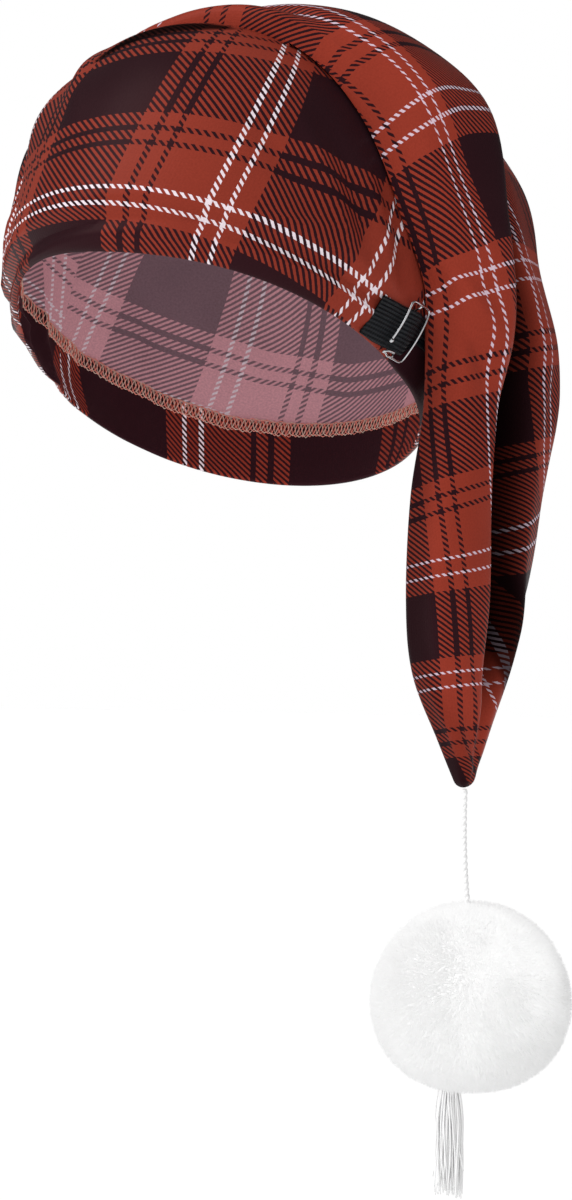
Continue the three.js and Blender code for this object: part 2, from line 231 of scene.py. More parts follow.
# %% Light
ROOM = {"seen": 1.0, "cast": 0.56, "mirrored": 0.1}
LAMPS = {
    "studio_lamp": {"strength": 1.82, "softness": 50, "toward": (0.42, 0.62, -0.66)},
    "fill_lamp": {"strength": 0.6, "softness": 60, "toward": (-0.35, 0.93, 0.12)},
}
world = bpy.data.worlds.new("white_room")
world.use_nodes = True
room = world.node_tree
room.nodes.clear()
ray = add_node(room, "ShaderNodeLightPath")
power = ROOM["cast"]
for kind, strength in (("Is Glossy Ray", ROOM["mirrored"]), ("Is Camera Ray", ROOM["seen"])):
    mix = add_node(room, "ShaderNodeMix", {"Factor": ray.outputs[kind], 2: power, 3: strength})
    power = mix
white = add_node(room, "ShaderNodeBackground", {"Color": linear("#FFFFFF"), "Strength": power})
add_node(room, "ShaderNodeOutputWorld", {"Surface": white})
bpy.context.scene.world = world
bpy.context.scene.view_settings.view_transform = "Standard"

for name, lamp in LAMPS.items():
    lamp_data = bpy.data.lights.new(name, "SUN")
    lamp_data.energy = lamp["strength"]
    lamp_data.angle = math.radians(lamp["softness"])
    lamp_object = bpy.data.objects.new(name, lamp_data)
    lamp_object.rotation_euler = Vector(lamp["toward"]).to_track_quat("-Z", "Y").to_euler()
    bpy.context.scene.collection.objects.link(lamp_object)
print("room", ROOM, "lamps", LAMPS)

# %% Floor
FLOOR = {"half_width": 8, "below": 0.12, "glow": 0.13}  # metres; the glow makes it as white as the room
bm = bmesh.new()
bmesh.ops.create_grid(bm, x_segments=1, y_segments=1, size=FLOOR["half_width"])
bmesh.ops.translate(bm, verts=bm.verts, vec=(0, 0, cad_bounds[0][2] - FLOOR["below"]))
floor_material, tree = start_material("pale_floor")
glow = {"Emission Color": linear("#FFFFFF"), "Emission Strength": FLOOR["glow"]}
end_material(tree, {"Base Color": linear("#FDFDFD"), "Roughness": 0.9, **glow})
floor = new_piece("floor", bm, [floor_material])
floor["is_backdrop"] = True

# %% [markdown]
# ## Cord
# The pompom hangs on a short cord of two white plies twisted together. It is one tube whose section
# has two lobes and turns as it goes down, and it sags very slightly to one side.

# %% Cord
CORD = {
    "top": (99.9, 18.9, -166.6), "end": (101.2, 18.9, -214.6), "sway": -0.9, "diameter": 2.3,
    "twist": 2.6, "waist": 0.68, "lobe": 0.34, "sides": 16, "points": 160, "fibre": 0.7,
}
t = np.linspace(0, 1, CORD["points"])
cord_path = np.array(CORD["top"]) + (np.array(CORD["end"]) - np.array(CORD["top"])) * t[:, None]
cord_path[:, 0] += CORD["sway"] * np.sin(math.pi * t)
cord_run = run_along(cord_path)
lobes = np.linspace(0, WHOLE_TURN, CORD["sides"] + 1)
lobe_radius = CORD["diameter"] / 2 * (CORD["waist"] + CORD["lobe"] * np.abs(np.cos(lobes)))
bm = bmesh.new()
roll(bm, tube(cord_path, lobe_radius, CORD["sides"], turn=cord_run / CORD["twist"] * math.pi))

# Bleached cotton yarn: white, dull, and a little darker between its fibres.
cord_material, tree = start_material("white_cotton_cord")
place = add_node(tree, "ShaderNodeTexCoord").outputs["Object"]
grain = {"Vector": place, "Scale": 1 / (CORD["fibre"] * MM), "Detail": 4}
fibres = add_node(tree, "ShaderNodeTexNoise", grain).outputs["Fac"]
shade = add_node(tree, "ShaderNodeMapRange", {"Value": fibres, "To Min": 0.8, "To Max": 1.05})
tint = add_node(tree, "ShaderNodeVectorMath", {0: linear("#FAFAFA")[:3], "Scale": shade}, operation="SCALE")
end_material(tree, {"Base Color": tint, "Roughness": 0.8, "Specular IOR Level": 0.2})
cord = new_piece("twisted_cord", bm, [cord_material])
settle(cord, "cord")
print("length", round(cord_run[-1], 1), "mm")

# %% [markdown]
# ## The form of the crown
# The crown is a dome on an oval that leans back from upright. Its rim is drawn in, so that it grips
# the head. These values and formulas are those of the CAD model: across, forward and up are the
# crown's own directions.

# %% Crown
CROWN = {
    "lean": 26, "half_width": 91, "front_length": 109, "back_length": 99, "height": 123,
    "fullness": 3.25, "rim_tuck": 0.13, "back_tuck": 0.03, "tuck_height": 30, "top_forward": 19,
}
CLOTH = 1.2  # how thick the cloth is
HEM = 30  # how deep the hem is
LEAN = math.radians(CROWN["lean"])


def from_crown(across, forward, up):
    """Points of the crown's own frame, in the part's frame, as an array."""
    back = -forward * math.cos(LEAN) + up * math.sin(LEAN)
    return np.stack([across, back, forward * math.sin(LEAN) + up * math.cos(LEAN)], axis=-1)


def smooth_step(value, low, high):
    """0 below low, 1 above high, and a smooth rise between."""
    t = np.clip((value - low) / (high - low), 0, 1)
    return t * t * (3 - 2 * t)


def table(columns, rows):
    """A table as one dictionary for each row, with its columns named."""
    return [dict(zip(columns.split(), row)) for row in rows]


# %% Folds of the crown
# Soft folds run from one place to another, given as degrees round the crown and height. Each has
# its width and how far it stands out. A negative rise is a hollow.
FOLD_COLUMNS = "from to width rise"
CROWN_FOLDS = table(FOLD_COLUMNS, [
    ((192, 12), (346, 12), 3.2, -1.5),
    ((192, 5.5), (346, 5.5), 3.6, 1.3),
    ((192, 17), (346, 19), 4.0, 0.9),
    ((214, 30), (205, 90), 6, 1.2),
    ((222, 24), (213, 84), 5, -1.0),
    ((250, 60), (236, 104), 7, 1.0),
    ((318, 26), (300, 60), 5, -1.0),
    ((328, 24), (312, 66), 3.5, 1.2),
    ((335, 22), (322, 62), 3, -1.2),
    ((341, 22), (331, 56), 2.6, 1.3),
    ((346, 22), (340, 50), 2.4, -1.2),
    ((300, 14), (324, 26), 3, 0.9),
    ((186, 6), (196, 52), 4, 1.5),
    ((194, 4), (206, 44), 3, -1.4),
    ((200, 4), (214, 38), 3, 1.1),
    ((178, 0), (184, 40), 3.5, -1.8),
    ((40, 8), (70, 70), 8, 1.2),
    ((120, 12), (104, 80), 9, 1.2),
    ((140, 8), (150, 60), 7, -1.1),
    ((166, 6), (160, 50), 5, 1.2),
    ((180, 66), (226, 86), 24, 2.8),
])
MM_PER_DEGREE = 1.65  # round the crown's middle
FOLD_DEPTH = 1.5  # of a fold whose rise is 1
FOLD_FADE = 14  # the longest stretch over which a fold runs out at its ends


def ridge(u, v, fold):
    """How far one soft fold stands out at places u, v, in millimetres."""
    (u0, v0), (u1, v1) = fold["from"], fold["to"]
    length = math.hypot(u1 - u0, v1 - v0)
    along = ((u - u0) * (u1 - u0) + (v - v0) * (v1 - v0)) / length
    aside = ((u - u0) * (v1 - v0) - (v - v0) * (u1 - u0)) / length
    fade = min(FOLD_FADE, length / 3)
    ends = smooth_step(along, -fade, fade) * (1 - smooth_step(along, length - fade, length + fade))
    return FOLD_DEPTH * fold["rise"] * ends * np.exp(-((aside / fold["width"]) ** 2))


def crown_folds(angle, height):
    """How far the crown's cloth stands out of its plain form."""
    run = np.degrees(angle) * MM_PER_DEGREE
    rise = np.zeros_like(run + height, dtype=float)
    for fold in CROWN_FOLDS:
        ends = {key: (fold[key][0] * MM_PER_DEGREE, fold[key][1]) for key in ("from", "to")}
        rise = rise + ridge(run, height, {**fold, **ends})
    return rise


# %% The crown's surface
RIM_ARCH = {"at": 232, "wide": 30, "rise": 5, "reach": 40}  # the rim is drawn up over one brow


def arched(angle, height):
    """The height of a point of the crown once its rim is drawn up."""
    off = (np.degrees(angle) - RIM_ARCH["at"]) / RIM_ARCH["wide"]
    fade = np.clip(1 - np.maximum(height, 0) / RIM_ARCH["reach"], 0, 1)
    return height + RIM_ARCH["rise"] * np.exp(-off * off) * fade**2


def forward_shift(height):
    """How far forward the crown's oval lies at a height."""
    return CROWN["top_forward"] * (np.maximum(height, 0) / CROWN["height"]) ** 2


def crown_oval(height, top, back):
    """The crown's oval at a height under a top: its share of the full size, and how long it is to
    the front or the back. back is above 0 towards the back, and 1 right there."""
    climb = np.clip(height / top, 0, 1) ** CROWN["fullness"]
    tuck = CROWN["rim_tuck"] + (CROWN["back_tuck"] - CROWN["rim_tuck"]) * np.maximum(back, 0)
    tuck = tuck * (1 - np.clip(height / CROWN["tuck_height"], 0, 1)) ** 2
    share = (1 - climb) ** (1 / CROWN["fullness"]) * (1 - tuck)
    return share, np.where(back > 0, CROWN["back_length"], CROWN["front_length"])


def crown_point(angle, height, inset):
    """The crown's surface: angle 0 is the wearer's left, a quarter turn on is the back."""
    height = arched(angle, height)
    inset = inset - crown_folds(angle, height)
    share, length = crown_oval(height, CROWN["height"] - inset, np.sin(angle))
    across = (CROWN["half_width"] * share - inset) * np.cos(angle)
    forward = forward_shift(height) - (length * share - inset) * np.sin(angle)
    return from_crown(across, forward, height)

# %% [markdown]
# ## The form of the tail
# The tail is the cap's own tube of cloth, pressed flat and bent over the crown. It is described by
# sections: where its front and back folds are, how far the cloth stands out between them on the
# front half, the rear half and the inner side, and how deep the pleat down its outer side is and
# where it lies between the folds. The last two columns place the print: how far it is turned round
# the tail, and how much its rows rise towards the back.

# %% Tail sections
TAIL = table("front back out rear inn pleat at turn rise", [
    ((-58, -4, 95), (-54, 58, 60), 4, 3, 4, 0, 0.4, -19, -0.3),
    ((-38, -19, 127.5), (-28, 78, 78), 6, 6, 7, 0, 0.4, -19, -0.3),
    ((-6, -28, 137), (0, 90, 84), 11, 11, 9, 0, 0.4, -19, -0.3),
    ((28, -29, 137), (32, 92, 86), 20, 18, 11, 0, 0.4, -19, -0.3),
    ((56, -25, 124), (64, 90, 80), 32.5, 27, 14, 0, 0.4, -17.7, -0.12),
    ((76, -20, 98), (84, 84, 60), 38.5, 28, 13, 3, 0.4, -10.3, 0.17),
    ((86, -13, 63), (90, 80, 36), 35, 27.5, 9, 13, 0.41, -6, 0.3),
    ((91.5, 0, 27), (92, 80, 8), 30.5, 32.5, 7, 21, 0.4, -6, 0.3),
    ((91.8, 0.5, -12), (94, 76, -22), 24.5, 32.5, 7, 24, 0.4, -6, 0.3),
    ((90, -8, -50), (95, 64, -54), 25.5, 30.5, 8, 21, 0.43, 3.6, 0.29),
    ((87, -6, -91), (97, 52, -93), 26, 28, 8, 16, 0.48, 12.1, 0.12),
    ((87, 0, -120), (100, 42, -121), 21, 21, 8, 9, 0.52, 11.9, 0.05),
    ((93, 10, -146), (101, 31, -146), 11, 10, 6, 2, 0.58, 5, 0),
    ((98, 16.8, -166), (100.8, 21.8, -166), 3, 3, 3, 0, 0.55, 5, 0),
])
TAIL_SIDES = {"rear": 52, "out": 48, "inn": 40}  # steps round a section, on each of its parts
FRONT_FOLD = TAIL_SIDES["rear"] + TAIL_SIDES["out"]


def along_rows(values, place):
    """A column of a table at any place from 0 to 1, by Catmull-Rom through the rows."""
    values = np.array(values, dtype=float)
    s = place * (len(values) - 1)
    i = min(int(s), len(values) - 2)
    t = s - i
    a, b, c, d = (values[min(max(k, 0), len(values) - 1)] for k in (i - 1, i, i + 1, i + 2))
    return 0.5 * (2 * b + (c - a) * t + (2 * a - 5 * b + 4 * c - d) * t**2 + (3 * b - a - 3 * c + d) * t**3)


def columns_at(rows, place):
    """Every column of a table at a place from 0 to 1."""
    return {key: along_rows([row[key] for row in rows], place) for key in rows[0]}


def tail_row(place):
    """The tail's section at a place along it, with how wide it is between its two folds."""
    row = columns_at(TAIL, place)
    row["pleat"] = max(row["pleat"], 0)
    row["half"] = np.linalg.norm(row["front"] - row["back"]) / 2
    row["pleat_at"] = 2 * row["at"] - 1
    return row


# %% A section of the tail
# The pleat dips inwards within a short way of its line, and the front panel lies over it a little.
# Its painted shade reaches further to the rear where the pleat lies further back. Widths are shares
# of half the tail's width.
PLEAT = {"front": 0.16, "rear": 0.3, "depth": 1.15, "overlap": 1.5, "full_overlap": 20}
PLEAT_SHADE = {"front": 0.07, "rear": 0.38, "widening": 2.2, "narrow_at": 0.41, "pleats": (2, 13)}
PANEL_CHANGE = (-0.2, 0.35)  # where the front half's bulge becomes the rear half's, round the pleat
CROWDING = {"rear": 1.3, "out": 1.4}  # how much closer the steps are near the pleat
ROUNDING = {"outer": 0.5, "inner": 0.8}


def tail_outline(row):
    """Distances towards the back fold and outwards, from the back fold round the outer side to the
    front fold, and back to it along the inner side."""
    pleat_turn = math.acos(row["pleat_at"])
    rear, out = (np.arange(TAIL_SIDES[part]) / TAIL_SIDES[part] for part in ("rear", "out"))
    rear = pleat_turn * (1 - (1 - rear) ** CROWDING["rear"])
    out = pleat_turn + (math.pi - pleat_turn) * out ** CROWDING["out"]
    t = np.concatenate([rear, out])
    along = np.cos(t) - row["pleat_at"]
    off = along / np.where(along < 0, PLEAT["front"], PLEAT["rear"])
    dip = np.exp(-off * off)
    bulge = row["out"] + (row["rear"] - row["out"]) * smooth_step(along, *PANEL_CHANGE)
    slide = PLEAT["overlap"] * min(row["pleat"] / PLEAT["full_overlap"], 1) * dip
    height = bulge * np.sin(t) ** ROUNDING["outer"] - PLEAT["depth"] * row["pleat"] * dip
    outer = np.stack([row["half"] * np.cos(t) - slide, height], axis=-1)
    t = np.arange(TAIL_SIDES["inn"] + 1) / TAIL_SIDES["inn"] * math.pi
    height = -row["inn"] * np.maximum(np.sin(t), 0) ** ROUNDING["inner"]
    inner = np.stack([-row["half"] * np.cos(t), height], axis=-1)
    return np.concatenate([outer, inner])


def pleat_painted_shade(row):
    """For each point of a section, how much painted shade it gets in the pleat, from 0 to 1."""
    outline = tail_outline(row)
    off = outline[:, 0] / row["half"] - row["pleat_at"]
    rear = PLEAT_SHADE["rear"] + PLEAT_SHADE["widening"] * (row["at"] - PLEAT_SHADE["narrow_at"])
    off = off / np.where(off < 0, PLEAT_SHADE["front"], rear)
    on_outer = np.arange(len(outline)) < FRONT_FOLD
    return np.exp(-(off**4)) * on_outer * smooth_step(row["pleat"], *PLEAT_SHADE["pleats"])


# Soft folds of the tail: how far along it and how far round it from the front fold, in millimetres.
TAIL_RUN = 421  # the length of the tail along its middle
TAIL_FOLDS = table(FOLD_COLUMNS, [
    ((0, 5), (150, 5), 4, 2.0),
    ((30, 13), (118, 12), 3, -2.2),
    ((150, 60), (250, 36), 9, 1.4),
    ((170, 30), (260, 22), 8, -1.2),
    ((212, 6), (236, 30), 4, 1.3),
    ((222, 4), (250, 26), 4, -1.2),
    ((236, 2), (300, 12), 5, 1.3),
    ((300, 8), (372, 20), 6, 1.1),
    ((330, 18), (400, 14), 4, -1.0),
    ((352, 4), (404, 8), 3, 0.9),
    ((180, 88), (300, 92), 8, 1.3),
    ((240, 104), (330, 88), 6, -1.1),
    ((150, 120), (260, 112), 9, 1.0),
    ((160, -40), (280, -30), 10, 1.2),
    ((280, -24), (370, -20), 7, 1.1),
])
NEARBY = 0.01  # how far on and back along the tail its direction is measured


def tail_ring(place, inset):
    """The section at a place as points in the part's frame, taken in by inset on every side. The
    last point is the first one again."""
    row = tail_row(place)
    before, after = tail_row(max(place - NEARBY, 0)), tail_row(min(place + NEARBY, 1))
    flow = after["front"] + after["back"] - before["front"] - before["back"]
    wide = unit(row["back"] - row["front"])
    outward = unit(np.cross(unit(flow), wide))
    outline = tail_outline(row)
    loop = outline[:-1]
    step = unit(np.roll(loop, -1, axis=0) - np.roll(loop, 1, axis=0))
    girth = run_along(outline)
    girth = girth[FRONT_FOLD] - girth[:-1]
    rise = sum(ridge(place * TAIL_RUN, girth, fold) for fold in TAIL_FOLDS)
    moved = loop + (inset - rise)[:, None] * np.stack([-step[:, 1], step[:, 0]], axis=-1)
    moved = np.concatenate([moved, moved[:1]])
    middle = (row["front"] + row["back"]) / 2
    return middle + moved[:, :1] * wide + moved[:, 1:] * outward


# %% [markdown]
# ## The print's place on the cloth
# A tartan only looks right if its bands run where the cloth runs. Each point of the cloth therefore
# gets two numbers, in millimetres of the printed cloth: across it and up it. They are kept as a UV
# map. The crown is two panels, front and back, sewn at the sides. On each one the bands lean
# towards the tail as they rise. On the tail they follow its length and its girth.

# %% Charts
SETT = {"red": 50, "dark_across": 41.4, "dark_up": 32.5}
BAND_STEP = SETT["red"] + SETT["dark_up"]  # from the middle of one dark band to the next
CROWN_STRETCH = 58.4 / 50  # how much wider than printed a band is there
TAIL_STRETCH = 46 / 50
CROWN_CLOSER = 1.085  # how much closer together the print's rows are on the crown

# Where each panel's print starts, how it leans, slopes and bends, and how far from the panel's
# middle the slope goes on.
PANELS = {
    "front": {"start": -33.1, "lean": 0.265, "rise": 74.75, "slope": 0.156, "bend": -0.00036,
              "twist": -0.0023, "reach": (-150, 120)},
    "back": {"start": 14.5, "lean": 0.19, "rise": 79.0, "slope": 0.16, "bend": 0.00125,
             "twist": 0.0, "reach": (-150, 10)},
}
SIDE_PULL = {"by": 12, "along": (90, 150)}  # the back panel's print is drawn back at its left seam
SEAM_TURN = {"left": 3, "right": 4}  # columns of cloth by which the side seams are off the middle

round_angles = np.linspace(0, WHOLE_TURN, 721)
round_run = run_along(crown_point(round_angles, np.full_like(round_angles, HEM), 0))
levels = np.linspace(0, CROWN["height"] - 1, 300)
level_run = run_along(crown_point(np.full_like(levels, 1.5 * math.pi), levels, 0))


def crown_chart(angle, height, panel, on_hem):
    """Where the print is at a point of the crown: across and up, in millimetres of print."""
    chart = PANELS[panel]
    at_back = panel == "back"
    height = arched(angle, height)
    middle = 0.5 * math.pi if at_back else 1.5 * math.pi
    run = np.interp(angle, round_angles, round_run) - np.interp(middle, round_angles, round_run)
    if at_back:
        run = np.where(run > round_run[-1] / 2, round_run[-1] - run, -run)
    lean = chart["lean"] * (-height if on_hem else height)
    across = (run - lean - chart["start"]) / CROWN_STRETCH
    if at_back:
        across = -(across - SIDE_PULL["by"] * smooth_step(run, *SIDE_PULL["along"]))
    if on_hem:
        return across, -BAND_STEP - (height - HEM / 2)
    near = np.clip(run, *chart["reach"])
    level = np.interp(height, levels, level_run)
    slope = chart["slope"] * near + chart["bend"] * near**2 + chart["twist"] * near * level
    return across, (level - chart["rise"] + slope) * CROWN_CLOSER


# %% Faces of the cloth
# The cloth has four faces. Each is a material of its own, which gets its shader further on. The glow
# column is a painted glow that makes the wrong side and the hem brighter than the light inside the
# cap leaves them.
FACES = table("name print roughness blur grain glow", [
    ("printed_jersey", "crown", 0.36, 0.03, 0.06, 0.0),
    ("printed_jersey_wrong_side", "wrong", 0.8, 0.1, 0.12, 0.17),
    ("printed_jersey_tail", "tail", 0.36, 0.03, 0.06, 0.0),
    ("printed_jersey_hem", "crown", 0.5, 0.03, 0.06, 0.28),
])
CLOTH_MATERIALS = [start_material(face["name"])[0] for face in FACES]
RIGHT_SIDE, WRONG_SIDE, TAIL_SIDE, HEM_SIDE = range(len(FACES))

# %% Bodies of the crown
CROWN_COLUMNS = 180

# The dark tuck where the tail's first fold leaves the crown is a painted shadow: degrees round the crown and
# height.
TUCK = {
    "angles": (248, 261, 270, 288), "heights": (91.5, 101, 103.5, 105.5), "width": 8.2, "at_ends": 0.35,
    "points": 60,
}


def tuck_shadow(places):
    """How much painted shadow each point of the crown gets in the dark tuck under the tail's first fold."""
    angle = np.linspace(TUCK["angles"][0], TUCK["angles"][-1], TUCK["points"])
    line = crown_point(np.radians(angle), np.interp(angle, TUCK["angles"], TUCK["heights"]), 0)
    gap = np.linalg.norm(places[..., None, :] - line, axis=-1)
    swell = np.sin(math.pi * np.linspace(0, 1, TUCK["points"]))
    width = TUCK["width"] * (TUCK["at_ends"] + (1 - TUCK["at_ends"]) * swell)
    return np.exp(-((gap / width) ** 6)).max(axis=-1)


def crown_body(name, rows, side):
    """A body of the crown from rows of height, inset and whether it is the hem."""
    angle = np.linspace(0, WHOLE_TURN, CROWN_COLUMNS + 1)[None, :]
    height, inset = (np.array([row[k] for row in rows], dtype=float)[:, None] for k in (0, 1))
    places = crown_point(angle, height, inset)
    seams = CROWN_COLUMNS // 2 - SEAM_TURN["right"], CROWN_COLUMNS - SEAM_TURN["left"]
    panels = ["front" if seams[0] <= c < seams[1] else "back" for c in range(CROWN_COLUMNS)]
    maps = {}
    for panel in PANELS:
        for on_hem in (False, True):
            maps[panel, on_hem] = np.stack(crown_chart(angle, height, panel, on_hem), axis=-1)

    def chart(row, column, r, c):
        return maps[panels[column], rows[row][2]][r, c]

    bm = bmesh.new()
    # The crown gets its painted shadow in the tuck.
    roll(bm, places, chart, side, tuck_shadow(places))
    return new_piece(name, bm, CLOTH_MATERIALS)


def rising(start, end, steps):
    """Heights from start to end, closer together towards the end."""
    nearly_quarter_turn = math.pi * 0.495
    return start + (end - start) * np.sin(np.arange(steps) / (steps - 1) * nearly_quarter_turn)


# Rows of height, inset and whether they are on the hem. The rim's edge is rounded on both sides.
outer_rows = [(0, 1.0, False), (0.2, 0.55, False), (0.7, 0.15, False)]
outer_rows += [(h, 0, False) for h in rising(1.4, CROWN["height"], 70)]
crown_outer = crown_body("crown_outer", outer_rows, lambda row: RIGHT_SIDE)
hem_rows = [(-6, 1.2, True), (0, 1.35, True), (0.3, 1.8, True), (0.9, 2.2, True)]
hem_rows += [(h, 2 * CLOTH, True) for h in np.linspace(1.6, HEM, 10)]
room_rows = [(h, CLOTH, False) for h in rising(HEM + 0.01, CROWN["height"] - CLOTH, 50)]
inner_side = [HEM_SIDE] * (len(hem_rows) - 1) + [WRONG_SIDE] * (len(room_rows))
crown_room = crown_body("crown_room", hem_rows + room_rows, lambda row: inner_side[row])
print(count(crown_outer), count(crown_room))

# %% The print on the tail
# The print is counted from one section, and its rows lie a little closer than the cloth's own
# millimetres on both sides of a run. It is drawn back on the rear half, and pulled to the front at
# the top: how far at some runs along the tail, and over which stretch round it that comes in.
PRINT_FROM = {"place": 3 / 13, "run": 109.6}
PRINT_ROWS = {"from": 192.5, "before": 0.95, "after": 0.92, "growth": 0.001}
REAR_SLIP = {"runs": (150, 195, 300, 350), "by": (-10, 14, 14, 27), "round": (40, 96)}
TOP_PULL = {"runs": (190, 235), "by": (10, 0), "round": (16, 40)}

# Two places, besides the pleat, that get painted shade, as little light gets in there: behind the
# front panel low on the tail, and along the lower part of its front fold. They are given as runs and
# ways round from that fold.
BEHIND_PANEL_SHADE = {"depth": 0.95, "runs": (298, 330), "in": (46, 56), "out": (76, 92)}
FOLD_EDGE_SHADE = {"depth": 0.38, "runs": (225, 270), "out": (1, 15)}


def tail_chart(rows, run, girth):
    """Where the print is on the tail, in millimetres of print."""
    across = girth
    for change, sign in ((REAR_SLIP, -1), (TOP_PULL, 1)):
        by = sign * np.interp(run, change["runs"], change["by"])
        across = across + by * smooth_step(across, *change["round"])
    turn, rise = (np.array([row[key] for row in rows])[:, None] for key in ("turn", "rise"))
    down = run + rise * across - PRINT_ROWS["from"]
    after = PRINT_ROWS["after"] * down + PRINT_ROWS["growth"] * down**2
    down = np.where(down > 0, after, PRINT_ROWS["before"] * down)
    side = -(SETT["dark_across"] / 2 + (across - turn) / TAIL_STRETCH)
    return np.stack([side, down + BAND_STEP - SETT["dark_up"] / 2], axis=-1)


def tail_painted_shade(rows, run, girth):
    """How much painted shade each point of the tail gets in its pleat and folds, from 0 to 1."""
    pleat = np.stack([pleat_painted_shade(row) for row in rows])
    behind = smooth_step(girth, *BEHIND_PANEL_SHADE["in"]) * (1 - smooth_step(girth, *BEHIND_PANEL_SHADE["out"]))
    behind = BEHIND_PANEL_SHADE["depth"] * smooth_step(run, *BEHIND_PANEL_SHADE["runs"]) * behind
    edge = FOLD_EDGE_SHADE["depth"] * smooth_step(run, *FOLD_EDGE_SHADE["runs"]) * (1 - smooth_step(np.abs(girth), *FOLD_EDGE_SHADE["out"]))
    return np.maximum(np.maximum(pleat, behind), edge)


# %% Bodies of the tail
TIP = {"from": 0.984, "rings": 9, "nearest": 0.995}  # the tail's tip is rounded off


def tail_body(name, inset, end, rings, material):
    """The tail, or the room inside it, as a body."""
    stops = np.linspace(0, end, rings)
    tip_stops = TIP["from"] + (1 - TIP["from"]) * np.sin(np.linspace(0, math.pi / 2, TIP["rings"]))
    stops = np.concatenate([stops[stops < TIP["from"]], tip_stops[tip_stops <= end]])
    rows = [tail_row(place) for place in stops]
    middles = np.stack([(row["front"] + row["back"]) / 2 for row in rows])
    places = np.stack([tail_ring(place, inset) for place in stops])
    nearing = np.clip((stops - TIP["from"]) / (1 - TIP["from"]), 0, TIP["nearest"])
    places = middles[:, None] + (places - middles[:, None]) * np.sqrt(1 - nearing**2)[:, None, None]
    run = run_along(middles)
    run = (run - np.interp(PRINT_FROM["place"], stops, run) + PRINT_FROM["run"])[:, None]
    girth = np.stack([run_along(ring) for ring in places])
    girth = girth[:, FRONT_FOLD : FRONT_FOLD + 1] - girth
    chart = tail_chart(rows, run, girth)
    bm = bmesh.new()
    # The tail gets painted shade in its pleat, behind its front panel and along its front fold.
    painted_shade = tail_painted_shade(rows, run, girth)
    roll(bm, places, lambda row, column, r, c: chart[r, c], lambda row: material, painted_shade)
    return new_piece(name, bm, CLOTH_MATERIALS)


tail_outer = tail_body("tail_outer", inset=0, end=1, rings=230, material=TAIL_SIDE)
tail_room = tail_body("tail_room", inset=CLOTH, end=0.97, rings=160, material=WRONG_SIDE)
print(count(tail_outer), count(tail_room))

# %% [markdown]
# ## Joining the bodies
# The tail grows out of the crown, and both are hollow. The Boolean modifier joins the two outer
# bodies and takes the two rooms out of them, and it keeps the UV map and the material of each side.
# Where the tail hangs beside the crown, the crown and a margin are first taken out of the tail.

# %% Join and hollow
TAIL_FREE = 44  # the tail hangs free of the crown from here on towards the wearer's left
TAIL_CLEAR = 1  # the margin between them


def combine(piece, other, operation):
    """Applies one Boolean modifier and removes the other body."""
    modifier = piece.modifiers.new(operation, "BOOLEAN")
    modifier.operation = operation
    modifier.object = other
    modifier.solver = "MANIFOLD"
    bpy.context.view_layer.objects.active = piece
    bpy.ops.object.modifier_apply(modifier=modifier.name)
    bpy.data.objects.remove(other)


def crown_clearance(margin):
    """The crown, grown by a margin, as far as the tail hangs free of it."""
    rows = [(h, -margin, False) for h in rising(0, CROWN["height"] + margin, 50)]
    body = crown_body("clearance", rows, lambda row: RIGHT_SIDE)
    bm = bmesh.new()
    bm.from_mesh(body.data)
    plane = {"plane_co": ((TAIL_FREE + TAIL_CLEAR - margin) * MM, 0, 0), "plane_no": (-1, 0, 0)}
    bmesh.ops.bisect_plane(bm, geom=bm.verts[:] + bm.edges[:] + bm.faces[:], clear_outer=True, **plane)
    bmesh.ops.holes_fill(bm, edges=bm.edges, sides=0)
    bmesh.ops.recalc_face_normals(bm, faces=bm.faces)
    bm.to_mesh(body.data)
    bm.free()
    return body


combine(tail_outer, crown_clearance(TAIL_CLEAR), "DIFFERENCE")
combine(tail_room, crown_clearance(TAIL_CLEAR + CLOTH), "DIFFERENCE")
cap = crown_outer
combine(cap, tail_outer, "UNION")
combine(cap, crown_room, "DIFFERENCE")
combine(cap, tail_room, "DIFFERENCE")
cap.name = cap.data.name = "cap_cloth"
cap.data.set_sharp_from_angle(angle=math.radians(40))
settle(cap, "cap")

# %% [markdown]
# ## Printed jersey
# The cloth is a thin polyester jersey with a soft satin face, and the tartan is printed on it as a
# drawing of a twill: where a red band crosses a dark one, slanting stripes of both show, and a fine
# line shows as dashes on one colour and as a whole line on its own. A real twill does the same by
# letting warp and weft lie on top in turn, so the shader does that: one colour for the bands that
# run up the cloth, one for those across it, and a slanting stripe that picks between them. On the
# wrong side the inks only shine through. That side and the hem get a painted glow, so that they look
# as bright as thin cloth does when light comes through it, and deep in its folds the cloth gets
# painted shade and is dull.

# %% Thread chart
TWILL_PITCH = 2.85  # from one slanting stripe to the next, along a band
LINE_PLACES = {"dark": (0.15, 0.29), "white": (0.71, 0.85)}  # shares of the red band's width
LINE_WIDTHS = {
    "crown": {"dark": 2.4, "white": 1.9},
    "tail": {"dark": 2.3, "white": 1.45},
    "wrong": {"dark": 2.4, "white": 1.8},
}
INKS = {
    "crown": {"dark": "#2A151A", "red": "#873427", "white": "#E6D9E0"},
    "tail": {"dark": "#281419", "red": "#8D3527", "white": "#CFB9C6"},
    # The wrong side's inks are pale because they only shine through, and paler still as painted light
    # against the shade inside the cap.
    "wrong": {"dark": "#745E66", "red": "#C6949C", "white": "#D6CAD2"},
}


def stripes(dark, widths):
    """The bands from the middle of one dark band to the middle of the next: where each starts, as a
    share of the way, and its ink."""
    whole = SETT["red"] + dark
    bands = [(0, "dark"), (dark / 2, "red")]
    for ink, places in LINE_PLACES.items():
        for share in places:
            middle = dark / 2 + share * SETT["red"]
            bands += [(middle - widths[ink] / 2, ink), (middle + widths[ink] / 2, "red")]
    bands += [(dark / 2 + SETT["red"], "dark")]
    return [(start / whole, ink) for start, ink in bands]


